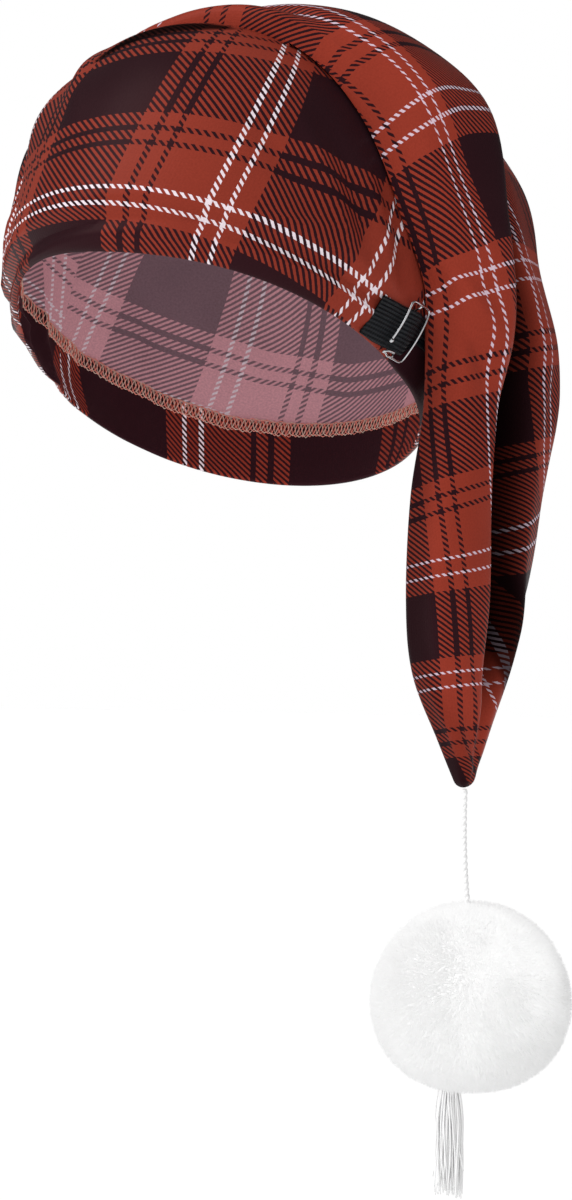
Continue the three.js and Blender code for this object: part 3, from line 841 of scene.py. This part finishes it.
def band_colour(tree, distance, dark, cloth):
    """The colour of the bands at a distance across them. The bands run there and back again."""
    whole = SETT["red"] + dark
    bounce = add_node(tree, "ShaderNodeMath", {0: distance, 1: whole}, operation="PINGPONG")
    share = add_node(tree, "ShaderNodeMath", {0: bounce, 1: whole}, operation="DIVIDE")
    ramp = add_node(tree, "ShaderNodeValToRGB", {"Fac": share})
    ramp.color_ramp.interpolation = "CONSTANT"
    chart = stripes(dark, LINE_WIDTHS[cloth])
    while len(ramp.color_ramp.elements) < len(chart):
        ramp.color_ramp.elements.new(1.0)
    for element, (start, ink) in zip(ramp.color_ramp.elements, chart):
        element.position = start
        element.color = linear(INKS[cloth][ink])
    return ramp.outputs["Color"]


# %% Tartan shader
# Jersey has upright wales of stitches about 0.6 mm apart. They are drawn twice as coarse, to show.
KNIT = {"stitch": 0.9, "wale": 1.2, "relief": 0.12, "patch": 30, "bleed": 0.3, "waver": 1.5}
KNIT_BUMP = {"wales": 0.3, "strength": 0.35}
PATCH_CHANGE = 0.05  # how much paler or darker the print is in large patches
NOISE_SPAN = {"From Min": 0.3, "From Max": 0.7}  # the values that a noise texture mostly gives
WAVE_STEP = 0.314  # how far apart the waves of a wave texture are at a scale of 1
# At the bottom of a fold the ink gets painted shade, down to this share of it, and is fully rough.
DEEPEST = {"tone": 0.05, "roughness": 1.0}
SATIN = {"IOR": 1.38, "Specular IOR Level": 0.17, "Specular Tint": linear("#C8716A")}


def print_tartan(tree, face):
    """The tartan on one face of the cloth, from the UV map that holds millimetres of print."""
    place = add_node(tree, "ShaderNodeUVMap", uv_map="print")
    place = add_node(tree, "ShaderNodeVectorMath", {0: place, "Scale": 1 / MM}, operation="SCALE")
    at = {"Vector": place}
    fuzz = add_node(tree, "ShaderNodeTexNoise", {**at, "Scale": 1 / KNIT["stitch"], "Detail": 2})
    patches = add_node(tree, "ShaderNodeTexNoise", {**at, "Scale": 1 / KNIT["patch"], "Detail": 1})

    # The inks bleed a little, and a slanting stripe picks between the two sets of bands.
    bleed = {0: fuzz.outputs["Color"], "Scale": KNIT["bleed"]}
    bleed = add_node(tree, "ShaderNodeVectorMath", bleed, operation="SCALE")
    inked = add_node(tree, "ShaderNodeVectorMath", {0: place, 1: bleed}, operation="ADD")
    axes = add_node(tree, "ShaderNodeSeparateXYZ", {0: inked})
    warp = band_colour(tree, axes.outputs["X"], SETT["dark_across"], face["print"])
    weft = band_colour(tree, axes.outputs["Y"], SETT["dark_up"], face["print"])
    slant = add_node(tree, "ShaderNodeMath", {0: axes.outputs["X"], 1: axes.outputs["Y"]}, operation="ADD")
    bounce = {0: slant, 1: TWILL_PITCH / 2}
    wave = add_node(tree, "ShaderNodeMath", bounce, operation="PINGPONG")
    low, high = (TWILL_PITCH * (0.25 + blur) for blur in (-face["blur"], face["blur"]))
    edge = {"Value": wave, "From Min": low, "From Max": high}
    pick = add_node(tree, "ShaderNodeMapRange", edge, interpolation_type="SMOOTHSTEP")
    inks = {"Factor": pick, 6: warp, 7: weft}
    ink = add_node(tree, "ShaderNodeMix", inks, data_type="RGBA")

    # Deep in a fold the cloth gets painted shade and is dull. Its tone also varies by the stitch and in
    # patches.
    fold = add_node(tree, "ShaderNodeUVMap", uv_map="fold")
    depth = add_node(tree, "ShaderNodeSeparateXYZ", {0: fold}).outputs["X"]
    matt = {"Value": depth, "To Min": face["roughness"], "To Max": DEEPEST["roughness"]}
    matt = add_node(tree, "ShaderNodeMapRange", matt)
    tone = add_node(tree, "ShaderNodeMapRange", {"Value": depth, "To Min": 1.0, "To Max": DEEPEST["tone"]})
    for noise, change in ((fuzz, face["grain"]), (patches, PATCH_CHANGE)):
        span = {"Value": noise.outputs["Fac"], **NOISE_SPAN, "To Min": 1 - change, "To Max": 1 + change}
        part = add_node(tree, "ShaderNodeMapRange", span)
        tone = add_node(tree, "ShaderNodeMath", {0: tone, 1: part}, operation="MULTIPLY")
    ink = add_node(tree, "ShaderNodeVectorMath", {0: ink.outputs[2], "Scale": tone}, operation="SCALE")

    # The knit stands out as fine wales with a fuzz over them.
    ribs = {**at, "Scale": WAVE_STEP / KNIT["wale"], "Distortion": KNIT["waver"]}
    wales = add_node(tree, "ShaderNodeTexWave", ribs, bands_direction="X")
    relief = {0: wales.outputs["Fac"], 1: KNIT_BUMP["wales"], 2: fuzz.outputs["Fac"]}
    relief = add_node(tree, "ShaderNodeMath", relief, operation="MULTIPLY_ADD")
    stitches = {"Strength": KNIT_BUMP["strength"], "Distance": KNIT["relief"] * MM}
    bump = add_node(tree, "ShaderNodeBump", {"Height": relief, **stitches})
    # Where a face has a glow, its ink glows too: painted light.
    colours = {"Base Color": ink, "Emission Color": ink}
    finish = {"Roughness": matt, "Normal": bump, "Emission Strength": face["glow"]}
    end_material(tree, {**colours, **finish, **SATIN})


for material, face in zip(CLOTH_MATERIALS, FACES):
    print_tartan(material.node_tree, face)
    print(face)

# %% [markdown]
# ## Overlocked edge of the hem
# The hem's raw edge is overlocked: two threads run back and forth over it and lock in a row of
# stitches below. Each thread is one closed tube that follows the edge all the way round, with the
# two half a stitch apart, so that they cross as on the real edge.

# %% Hem stitches
RIM_RADIUS = 94  # of a circle as long as the rim
STITCH = {
    "pitch": 3.4, "low": 23.9, "top": 30.9, "uneven": {"low": 0.7, "top": 0.5, "range": (-0.3, 1.3)},
    "slant": 0.35, "off_cloth": 0.45, "over_edge": {"by": 1.3, "heights": (29.8, 31.2)}, "radius": 0.26,
    "sides": 5, "steps": 8,
}
THREADS = [
    {"name": "hem_thread_salmon", "shift": 0.0, "colour": "#F09384", "seed": 5},
    {"name": "hem_thread_tan", "shift": 0.5, "colour": "#E2C0B0", "seed": 6},
]
stitches = round(WHOLE_TURN * RIM_RADIUS / STITCH["pitch"])


# Plies are too fine to show. The slanting bands are so much wider that a thread has an even shade.
PLIES = {"hem": 0.6, "tassel": 1.2, "bands": 0.3, "dark": 0.88, "light": 1.0}


def thread_material(name, colour, ply, glow):
    """Spun polyester thread: a soft sheen, a shade that hardly changes along it, and a painted glow that
    makes it brighter than its light.
    """
    material, tree = start_material(name)
    place = add_node(tree, "ShaderNodeTexCoord")
    bands = {"Vector": place.outputs["Object"], "Scale": PLIES["bands"] / ply}
    bands = add_node(tree, "ShaderNodeTexWave", bands, bands_direction="DIAGONAL")
    shade = {"Value": bands.outputs["Fac"], "To Min": PLIES["dark"], "To Max": PLIES["light"]}
    shade = add_node(tree, "ShaderNodeMapRange", shade)
    tint = {0: linear(colour)[:3], "Scale": shade}
    tint = add_node(tree, "ShaderNodeVectorMath", tint, operation="SCALE")
    colours = {"Base Color": tint, "Emission Color": tint}
    end_material(tree, {**colours, "Emission Strength": glow, "Roughness": 0.6, "Specular IOR Level": 0.3})
    return material


def hem_path(thread):
    """One thread's way round the hem's edge: up over it and down again at every stitch."""
    steps = stitches * STITCH["steps"]
    t = np.arange(steps) / STITCH["steps"] + thread["shift"]
    rng = np.random.default_rng(thread["seed"])
    uneven = rng.uniform(*STITCH["uneven"]["range"], stitches + 2)[np.floor(t).astype(int)]
    low = STITCH["low"] + STITCH["uneven"]["low"] * uneven
    top = STITCH["top"] + STITCH["uneven"]["top"] * uneven
    height = low + (top - low) * (0.5 - 0.5 * np.cos(WHOLE_TURN * t))
    slant = STITCH["slant"] * STITCH["pitch"] / RIM_RADIUS
    angle = WHOLE_TURN * np.arange(steps) / steps + slant * np.sin(2 * WHOLE_TURN * t)
    over_edge = STITCH["over_edge"]["by"] * smooth_step(height, *STITCH["over_edge"]["heights"])
    return crown_point(angle, height, 2 * CLOTH + STITCH["off_cloth"] - over_edge)


for thread in THREADS:
    bm = bmesh.new()
    roll(bm, tube(hem_path(thread), STITCH["radius"], STITCH["sides"], closed=True))
    material = thread_material(thread["name"], thread["colour"], PLIES["hem"], glow=0.15)
    settle(new_piece(thread["name"], bm, [material]))

# %% [markdown]
# ## Elastic strap
# The strap is woven elastic: rubber cords run along it between rows of black yarn, so it has ribs
# along its length, and its edges are finely toothed. Its section is rolled from a grid like the
# cloth, ribbed on its outer face. It follows the side of the crown and rises over the slider's bar,
# and behind the slider its lower edge is drawn up.

# %% The strap's way
STRAP = {
    "width": 16, "thick": 1.3, "ribs": 11, "rib": 0.4, "tooth": 1.25, "tooth_depth": 0.15,
    "weave": 0.06, "edge": 0.5, "roundness": 14, "gather": {"by": 0.75, "forward": (9.5, 5)},
    "steps": 130, "side": 56,
}
STRAP_PATH = table("forward up lift", [
    (33, 6.6, 0.4),
    (27, 7.6, 0.4),
    (20.8, 8.6, 0.4),
    (17, 9.4, 2.1),
    (14.5, 9.9, 2.5),
    (12, 10.4, 2.1),
    (8.2, 11.2, 0.4),
    (0, 12.5, 0.4),
    (-9, 13.6, 0.4),
    (-18, 14.6, 0.4),
])


def crown_side(forward, up):
    """The point of the crown's left side at a distance forward and up."""
    along = forward - forward_shift(up)
    share, length = crown_oval(up, CROWN["height"], -along / CROWN["back_length"])
    along = along / (length * share)
    return from_crown(CROWN["half_width"] * share * np.sqrt(1 - along**2), forward, up)


def on_crown(forward, up, lift):
    """Points over the left side of the crown, and how far they are lifted from it."""
    at = crown_side(forward, up)
    normal = unit(np.cross(crown_side(forward, up + 1) - at, crown_side(forward + 1, up) - at))
    return at + normal * np.sign(normal[..., :1]) * np.asarray(lift)[..., None]


# %% Strap
stops = [columns_at(STRAP_PATH, place) for place in np.linspace(0, 1, STRAP["steps"])]
forward, up, lift = (np.array([stop[key] for stop in stops])[:, None] for key in STRAP_PATH[0])
run = unit(np.concatenate([np.gradient(forward, axis=0), np.gradient(up, axis=0)], axis=1))
strap_run = run_along(np.concatenate([forward, up], axis=1))[:, None]
share = np.linspace(-1, 1, STRAP["side"])[None, :]
rib_turn = share * STRAP["ribs"] * math.pi / 2
tooth_turn = WHOLE_TURN * strap_run / STRAP["tooth"]
ribs = STRAP["rib"] * np.abs(np.cos(rib_turn)) - STRAP["rib"]
weave = STRAP["weave"] * np.sin(tooth_turn) * np.sign(np.sin(rib_turn))
round_off = STRAP["edge"] * (1 - np.sqrt(np.maximum(1 - np.abs(share) ** STRAP["roundness"], 0)))
over = STRAP["thick"] + ribs - round_off + weave
under = np.broadcast_to(round_off - ribs, over.shape)
first, last = (-x for x in STRAP["gather"]["forward"])
gather = np.where(share < 0, 1 - STRAP["gather"]["by"] * smooth_step(-forward, first, last), 1)
half = STRAP["width"] / 2 - STRAP["tooth_depth"] * (1 - np.cos(tooth_turn))


def there_and_back(values):
    """Values over the outer face of the strap and back under it to the first one again."""
    return np.concatenate([values, values[:, ::-1], values[:, :1]], axis=1)


height = np.concatenate([over, under[:, ::-1], over[:, :1]], axis=1)
across = there_and_back(share)
w = half * across * there_and_back(gather)
rib_map = np.stack(np.broadcast_arrays(across * STRAP["width"] / 2, strap_run), axis=-1)
places = on_crown(forward + run[:, 1:] * w, up - run[:, :1] * w, lift + height)
bm = bmesh.new()
roll(bm, places, lambda row, column, r, c: rib_map[r, c])
print("length", round(float(strap_run[-1, 0]), 1), "mm")

# %% Woven elastic
# Black polyester yarn over rubber: a dull sheen, faintly blue, with painted shade in the grooves and a
# painted highlight on the raised ribs.
GROOVES = {"rib": -1.6, "strength": 0.8, "depth": 0.25}
RIB_PAINTED_SHADE = {"From Min": -1.1, "From Max": 0.5, "To Min": 0.3, "To Max": 1.9}
elastic, tree = start_material("woven_elastic")
place = add_node(tree, "ShaderNodeUVMap", uv_map="print")
place = add_node(tree, "ShaderNodeVectorMath", {0: place, "Scale": 1 / MM}, operation="SCALE")
axes = add_node(tree, "ShaderNodeSeparateXYZ", {0: place})
rib, pick = (
    add_node(tree, "ShaderNodeMath", {0: axes.outputs[axis], 1: step / 2}, operation="PINGPONG")
    for axis, step in (("X", STRAP["width"] / STRAP["ribs"]), ("Y", STRAP["tooth"]))
)
relief = {0: rib, 1: GROOVES["rib"], 2: pick}
relief = add_node(tree, "ShaderNodeMath", relief, operation="MULTIPLY_ADD")
shade = add_node(tree, "ShaderNodeMapRange", {"Value": relief, **RIB_PAINTED_SHADE})
tint = add_node(tree, "ShaderNodeVectorMath", {0: linear("#090D12")[:3], "Scale": shade}, operation="SCALE")
grooves = {"Height": relief, "Strength": GROOVES["strength"], "Distance": GROOVES["depth"] * MM}
bump = add_node(tree, "ShaderNodeBump", grooves)
surface = {"Base Color": tint, "Roughness": 0.5, "Specular IOR Level": 0.3, "Normal": bump}
end_material(tree, surface)
strap = new_piece("elastic_strap", bm, [elastic])
settle(strap, "strap")

# %% [markdown]
# ## Wire slider
# The slider is bent from one bright steel wire: a rounded frame, a bar across it that the strap runs
# over, and a short closing turn with a welded bead at its lower end.

# %% Slider
SLIDER = {"forward": 14.5, "up": 10.4, "tall": 20, "tilt": -10, "lift": 3.5, "wire": 1.0, "sides": 12,
          "points": 260, "scratch": 0.5}
BAR = {"points": 48, "lift": 0.9, "ends": (0.76, 0.98)}  # it lies low, and rises to the frame at its ends
CLOSING = {"lift": 0.7, "at": (0.86, 0.95)}  # the wire's end lies over its start
BEAD = {"radius": 1.0, "lift": 0.2}

# The wire's way: from its bead up the front bar, round the top, down the rear bar and round below.
WIRE_WAY = [
    (6, -5.2), (6, -2), (6, 4), (6, 8.3), (5.4, 9.7), (3.8, 10.1), (0, 10.1), (-3.8, 10.1), (-5.4, 9.7),
    (-6, 8.3), (-6, 3), (-6, -3), (-6, -8.3), (-5.4, -9.7), (-3.8, -10.1), (1, -10.1), (4.6, -10.1),
    (5.6, -9.4), (4.4, -8.5), (1.2, -8.3),
]


def on_slider(a, b, lift):
    """A point of the slider's own plane: a runs along the strap, b across it."""
    tilt = math.radians(SLIDER["tilt"])
    a, b = np.asarray(a, dtype=float), np.asarray(b, dtype=float)
    forward = SLIDER["forward"] + a * math.cos(tilt) - b * math.sin(tilt)
    up = SLIDER["up"] + a * math.sin(tilt) + b * math.cos(tilt)
    return on_crown(forward, up, np.broadcast_to(lift, a.shape))


# Bright drawn steel wire: a metal, polished but finely scratched.
steel, tree = start_material("bright_steel_wire")
place = add_node(tree, "ShaderNodeTexCoord").outputs["Object"]
grain = {"Vector": place, "Scale": 1 / (SLIDER["scratch"] * MM), "Detail": 3}
scratches = add_node(tree, "ShaderNodeTexNoise", grain).outputs["Fac"]
polish = add_node(tree, "ShaderNodeMapRange", {"Value": scratches, "To Min": 0.14, "To Max": 0.3})
end_material(tree, {"Base Color": linear("#C9CACD"), "Metallic": 1.0, "Roughness": polish})

stops = np.linspace(0, 1, SLIDER["points"])
a, b = np.array([along_rows(WIRE_WAY, place) for place in stops]).T
wire = on_slider(a, b, SLIDER["lift"] + CLOSING["lift"] * smooth_step(stops, *CLOSING["at"]))
share = np.linspace(-1, 1, BAR["points"])
lift = BAR["lift"] + (SLIDER["lift"] - BAR["lift"]) * smooth_step(np.abs(share), *BAR["ends"])
bar = on_slider(np.zeros_like(share), share * SLIDER["tall"] / 2, lift)
bead = on_slider(*WIRE_WAY[0], SLIDER["lift"] + BEAD["lift"])
bm = bmesh.new()
for path in (wire, bar):
    roll(bm, tube(path, SLIDER["wire"] / 2, SLIDER["sides"]))
at_bead = Matrix.Translation(Vector(bead) * MM)
bmesh.ops.create_icosphere(bm, subdivisions=3, radius=BEAD["radius"] * MM, matrix=at_bead)
settle(new_piece("wire_slider", bm, [steel]), "slider")

# %% [markdown]
# ## Tassel
# Under the pompom hangs a bunch of soft threads. Each is a thin tube that leaves the middle of the
# bunch, bends outwards a little and then falls, and each has its own length, so the end is ragged.
# One stray thread hangs apart from them.

# %% Tassel threads
TASSEL = {
    "top": (93.5, 18.0, -284.6), "threads": 100, "radius": 0.36, "length": 45.8, "shortest": 0.8,
    "spread": 6.3, "sway": 1.1, "wave": {"by": 0.4, "turns": 5},
    "fan": {"start": 0.55, "soon": 2.4, "gather": 0.12}, "taper": 0.35, "points": 14, "sides": 5,
}
STRAY = {"left": 4, "front": 3, "sway": 3.5, "length": 34, "radius": 0.22}
GOLDEN_ANGLE = math.pi * (3 - math.sqrt(5))
top_x, top_y, top_z = TASSEL["top"]
fan, wave = TASSEL["fan"], TASSEL["wave"]
t = np.linspace(0, 1, TASSEL["points"])
radius = TASSEL["radius"] * (1 - TASSEL["taper"] * t[:, None] ** 6)
rng = np.random.default_rng(11)
bm = bmesh.new()
for k in range(TASSEL["threads"]):
    out = TASSEL["spread"] * math.sqrt((k + 0.5) / TASSEL["threads"])
    length = TASSEL["length"] * rng.uniform(TASSEL["shortest"], 1.0)
    sway = rng.normal(0, TASSEL["sway"], 2)
    opened = np.sin(np.minimum(t * fan["soon"], 1) * math.pi / 2)
    fanned = out * (fan["start"] + (1 - fan["start"]) * opened - fan["gather"] * t)
    x = fanned * math.cos(k * GOLDEN_ANGLE) + sway[0] * t**2 + wave["by"] * np.sin(wave["turns"] * t + k)
    y = fanned * math.sin(k * GOLDEN_ANGLE) + sway[1] * t**2 + wave["by"] * np.cos(wave["turns"] * t + 2 * k)
    roll(bm, tube(np.stack([top_x + x, top_y + y, top_z - length * t], axis=-1), radius, TASSEL["sides"]))
x = top_x + STRAY["left"] + STRAY["sway"] * t**3
y = np.full_like(t, top_y - STRAY["front"])
roll(bm, tube(np.stack([x, y, top_z - STRAY["length"] * t], axis=-1), STRAY["radius"], TASSEL["sides"]))
tassel_material = thread_material("white_tassel_thread", "#FCFCFC", PLIES["tassel"], glow=0.03)
settle(new_piece("tassel_threads", bm, [tassel_material]), "tassel")

# %% [markdown]
# ## Pompom
# The pompom is a ball of dense white fake fur. It is a slightly flattened core with tens of thousands
# of short hairs. A node group sets them on the core, leans each one with its neighbours, so that
# they part into soft locks, and lets them all droop a little.

# %% Core
POMPOM = {"middle": (102.3, 18.9, -251.6), "radius": 38.6, "up": 38.8, "down": 33.7, "fur": 2.6}
SQUARING = {"up": 0.97, "down": 0.83}  # below 1, that half is fuller than a ball


def core_place(x, y, z):
    """Where a point of a unit ball is on the core, in millimetres."""
    half = "down" if z < 0 else "up"
    flat = math.sqrt(max(1 - z * z, 0))
    polar = math.acos(max(-1, min(1, z)))
    size = math.sin(polar) ** SQUARING[half] / flat if flat > 1e-6 else 0
    radius = (POMPOM["radius"] - POMPOM["fur"]) * size
    return Vector((x * radius, y * radius, z * (POMPOM[half] - POMPOM["fur"]))) + Vector(POMPOM["middle"])


bm = bmesh.new()
bmesh.ops.create_icosphere(bm, subdivisions=6, radius=1)
for vert in bm.verts:
    vert.co = core_place(*vert.co) * MM

# White acrylic fur: bright, without gloss, a trace darker between the hairs. The hairs send light
# on to each other, so part of their colour is a painted glow that stands in for that light, and the
# rest of it is darker.
FUR = {"lock": 6, "darker": 0.96, "lit": 0.72, "glow": 0.25}
fur_material, tree = start_material("white_acrylic_fur")
place = add_node(tree, "ShaderNodeTexCoord").outputs["Object"]
grain = {"Vector": place, "Scale": 1 / (FUR["lock"] * MM), "Detail": 3}
locks = {"Value": add_node(tree, "ShaderNodeTexNoise", grain).outputs["Fac"], **NOISE_SPAN}
shade = add_node(tree, "ShaderNodeMapRange", {**locks, "To Min": FUR["darker"], "To Max": 1.0})
tint = add_node(tree, "ShaderNodeVectorMath", {0: linear("#FDFDFD")[:3], "Scale": shade}, operation="SCALE")
lit = add_node(tree, "ShaderNodeVectorMath", {0: tint, "Scale": FUR["lit"]}, operation="SCALE")
glow = {"Emission Color": tint, "Emission Strength": FUR["glow"]}
end_material(tree, {"Base Color": lit, "Roughness": 0.95, "Specular IOR Level": 0.1, **glow})
core = new_piece("pompom_core", bm, [fur_material])
settle(core, "pompom")

# %% One hair
HAIR = {"length": 5.6, "width": 0.2, "tip": 0.05, "root": 1}
bm = bmesh.new()
cone = {"radius1": HAIR["width"] * MM, "radius2": HAIR["tip"] * MM, "depth": HAIR["length"] * MM}
bmesh.ops.create_cone(bm, cap_ends=True, segments=3, **cone)
bmesh.ops.translate(bm, verts=bm.verts, vec=(0, 0, (HAIR["length"] / 2 - HAIR["root"]) * MM))
hair = new_piece("hair", bm, [fur_material])

# %% Set the hairs
COAT = {"hairs": 20000, "lock": 14, "lean": 1.3, "stray": 0.35, "droop": 0.3, "sizes": (0.75, 1.1)}


def grow_fur(name, seed):
    """Sets hairs on a copy of the core and keeps the hairs alone."""
    tree = bpy.data.node_groups.new(name, "GeometryNodeTree")
    for in_out in ("INPUT", "OUTPUT"):
        tree.interface.new_socket("Geometry", in_out=in_out, socket_type="NodeSocketGeometry")
    skin = add_node(tree, "NodeGroupInput")
    density = COAT["hairs"] / (4 * math.pi * (POMPOM["radius"] * MM) ** 2)
    scatter = {"Mesh": skin, "Density": density, "Seed": seed}
    spots = add_node(tree, "GeometryNodeDistributePointsOnFaces", scatter)

    # Each hair points straight out, leans with its lock, strays a little by itself and droops.
    place = add_node(tree, "GeometryNodeInputPosition")
    lock = {"Vector": place, "Scale": 1 / (COAT["lock"] * MM), "Detail": 2}
    noise = add_node(tree, "ShaderNodeTexNoise", lock)
    middle = {0: noise.outputs["Color"], 1: (0.5, 0.5, 0.5)}
    swing = add_node(tree, "ShaderNodeVectorMath", middle, operation="SUBTRACT")
    swing = {0: swing, "Scale": COAT["lean"]}
    swing = add_node(tree, "ShaderNodeVectorMath", swing, operation="SCALE")
    low, high = ((x, x, x - COAT["droop"]) for x in (-COAT["stray"], COAT["stray"]))
    stray = {"Min": low, "Max": high, "Seed": seed + 1}
    stray = add_node(tree, "FunctionNodeRandomValue", stray, data_type="FLOAT_VECTOR")
    way = spots.outputs["Normal"]
    for part in (swing, stray):
        way = add_node(tree, "ShaderNodeVectorMath", {0: way, 1: part}, operation="ADD")
    turned = add_node(tree, "FunctionNodeAlignRotationToVector", {"Vector": way}, axis="Z")

    low, high = COAT["sizes"]
    size = {2: low, 3: high, "Seed": seed + 2}
    size = add_node(tree, "FunctionNodeRandomValue", size, data_type="FLOAT")
    one = add_node(tree, "GeometryNodeObjectInfo", {"Object": hair})
    hairs = {"Points": spots.outputs["Points"], "Instance": one.outputs["Geometry"]}
    hairs = {**hairs, "Rotation": turned, "Scale": size.outputs[1]}
    fur = add_node(tree, "GeometryNodeInstanceOnPoints", hairs)
    real = add_node(tree, "GeometryNodeRealizeInstances", {"Geometry": fur})
    add_node(tree, "NodeGroupOutput", {0: real})

    piece = bpy.data.objects.new(name, core.data.copy())
    bpy.context.scene.collection.objects.link(piece)
    piece.modifiers.new("fur", "NODES").node_group = tree
    bpy.context.view_layer.objects.active = piece
    bpy.ops.object.modifier_apply(modifier="fur")
    piece.data.materials.clear()
    piece.data.materials.append(fur_material)
    bpy.data.node_groups.remove(tree)
    piece.visible_shadow = False
    piece.visible_diffuse = False
    settle(piece)


for k in range(1, 5):
    grow_fur(f"pompom_fur_{k}", seed=10 + 10 * k)
bpy.data.objects.remove(hair)

# %% [markdown]
# ## Finish
# The boxes of the CAD model and of the dressed one are taken in metres, and how much the dressed one has
# grown is printed in millimetres.

# %% Sizes
visual_bounds = [[float(x) for x in corner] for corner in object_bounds()]
grown = [(b - a) / MM for cad, visual in zip(cad_bounds, visual_bounds) for a, b in zip(cad, visual)]
print("grown by", [round(x, 1) for x in grown], "mm")
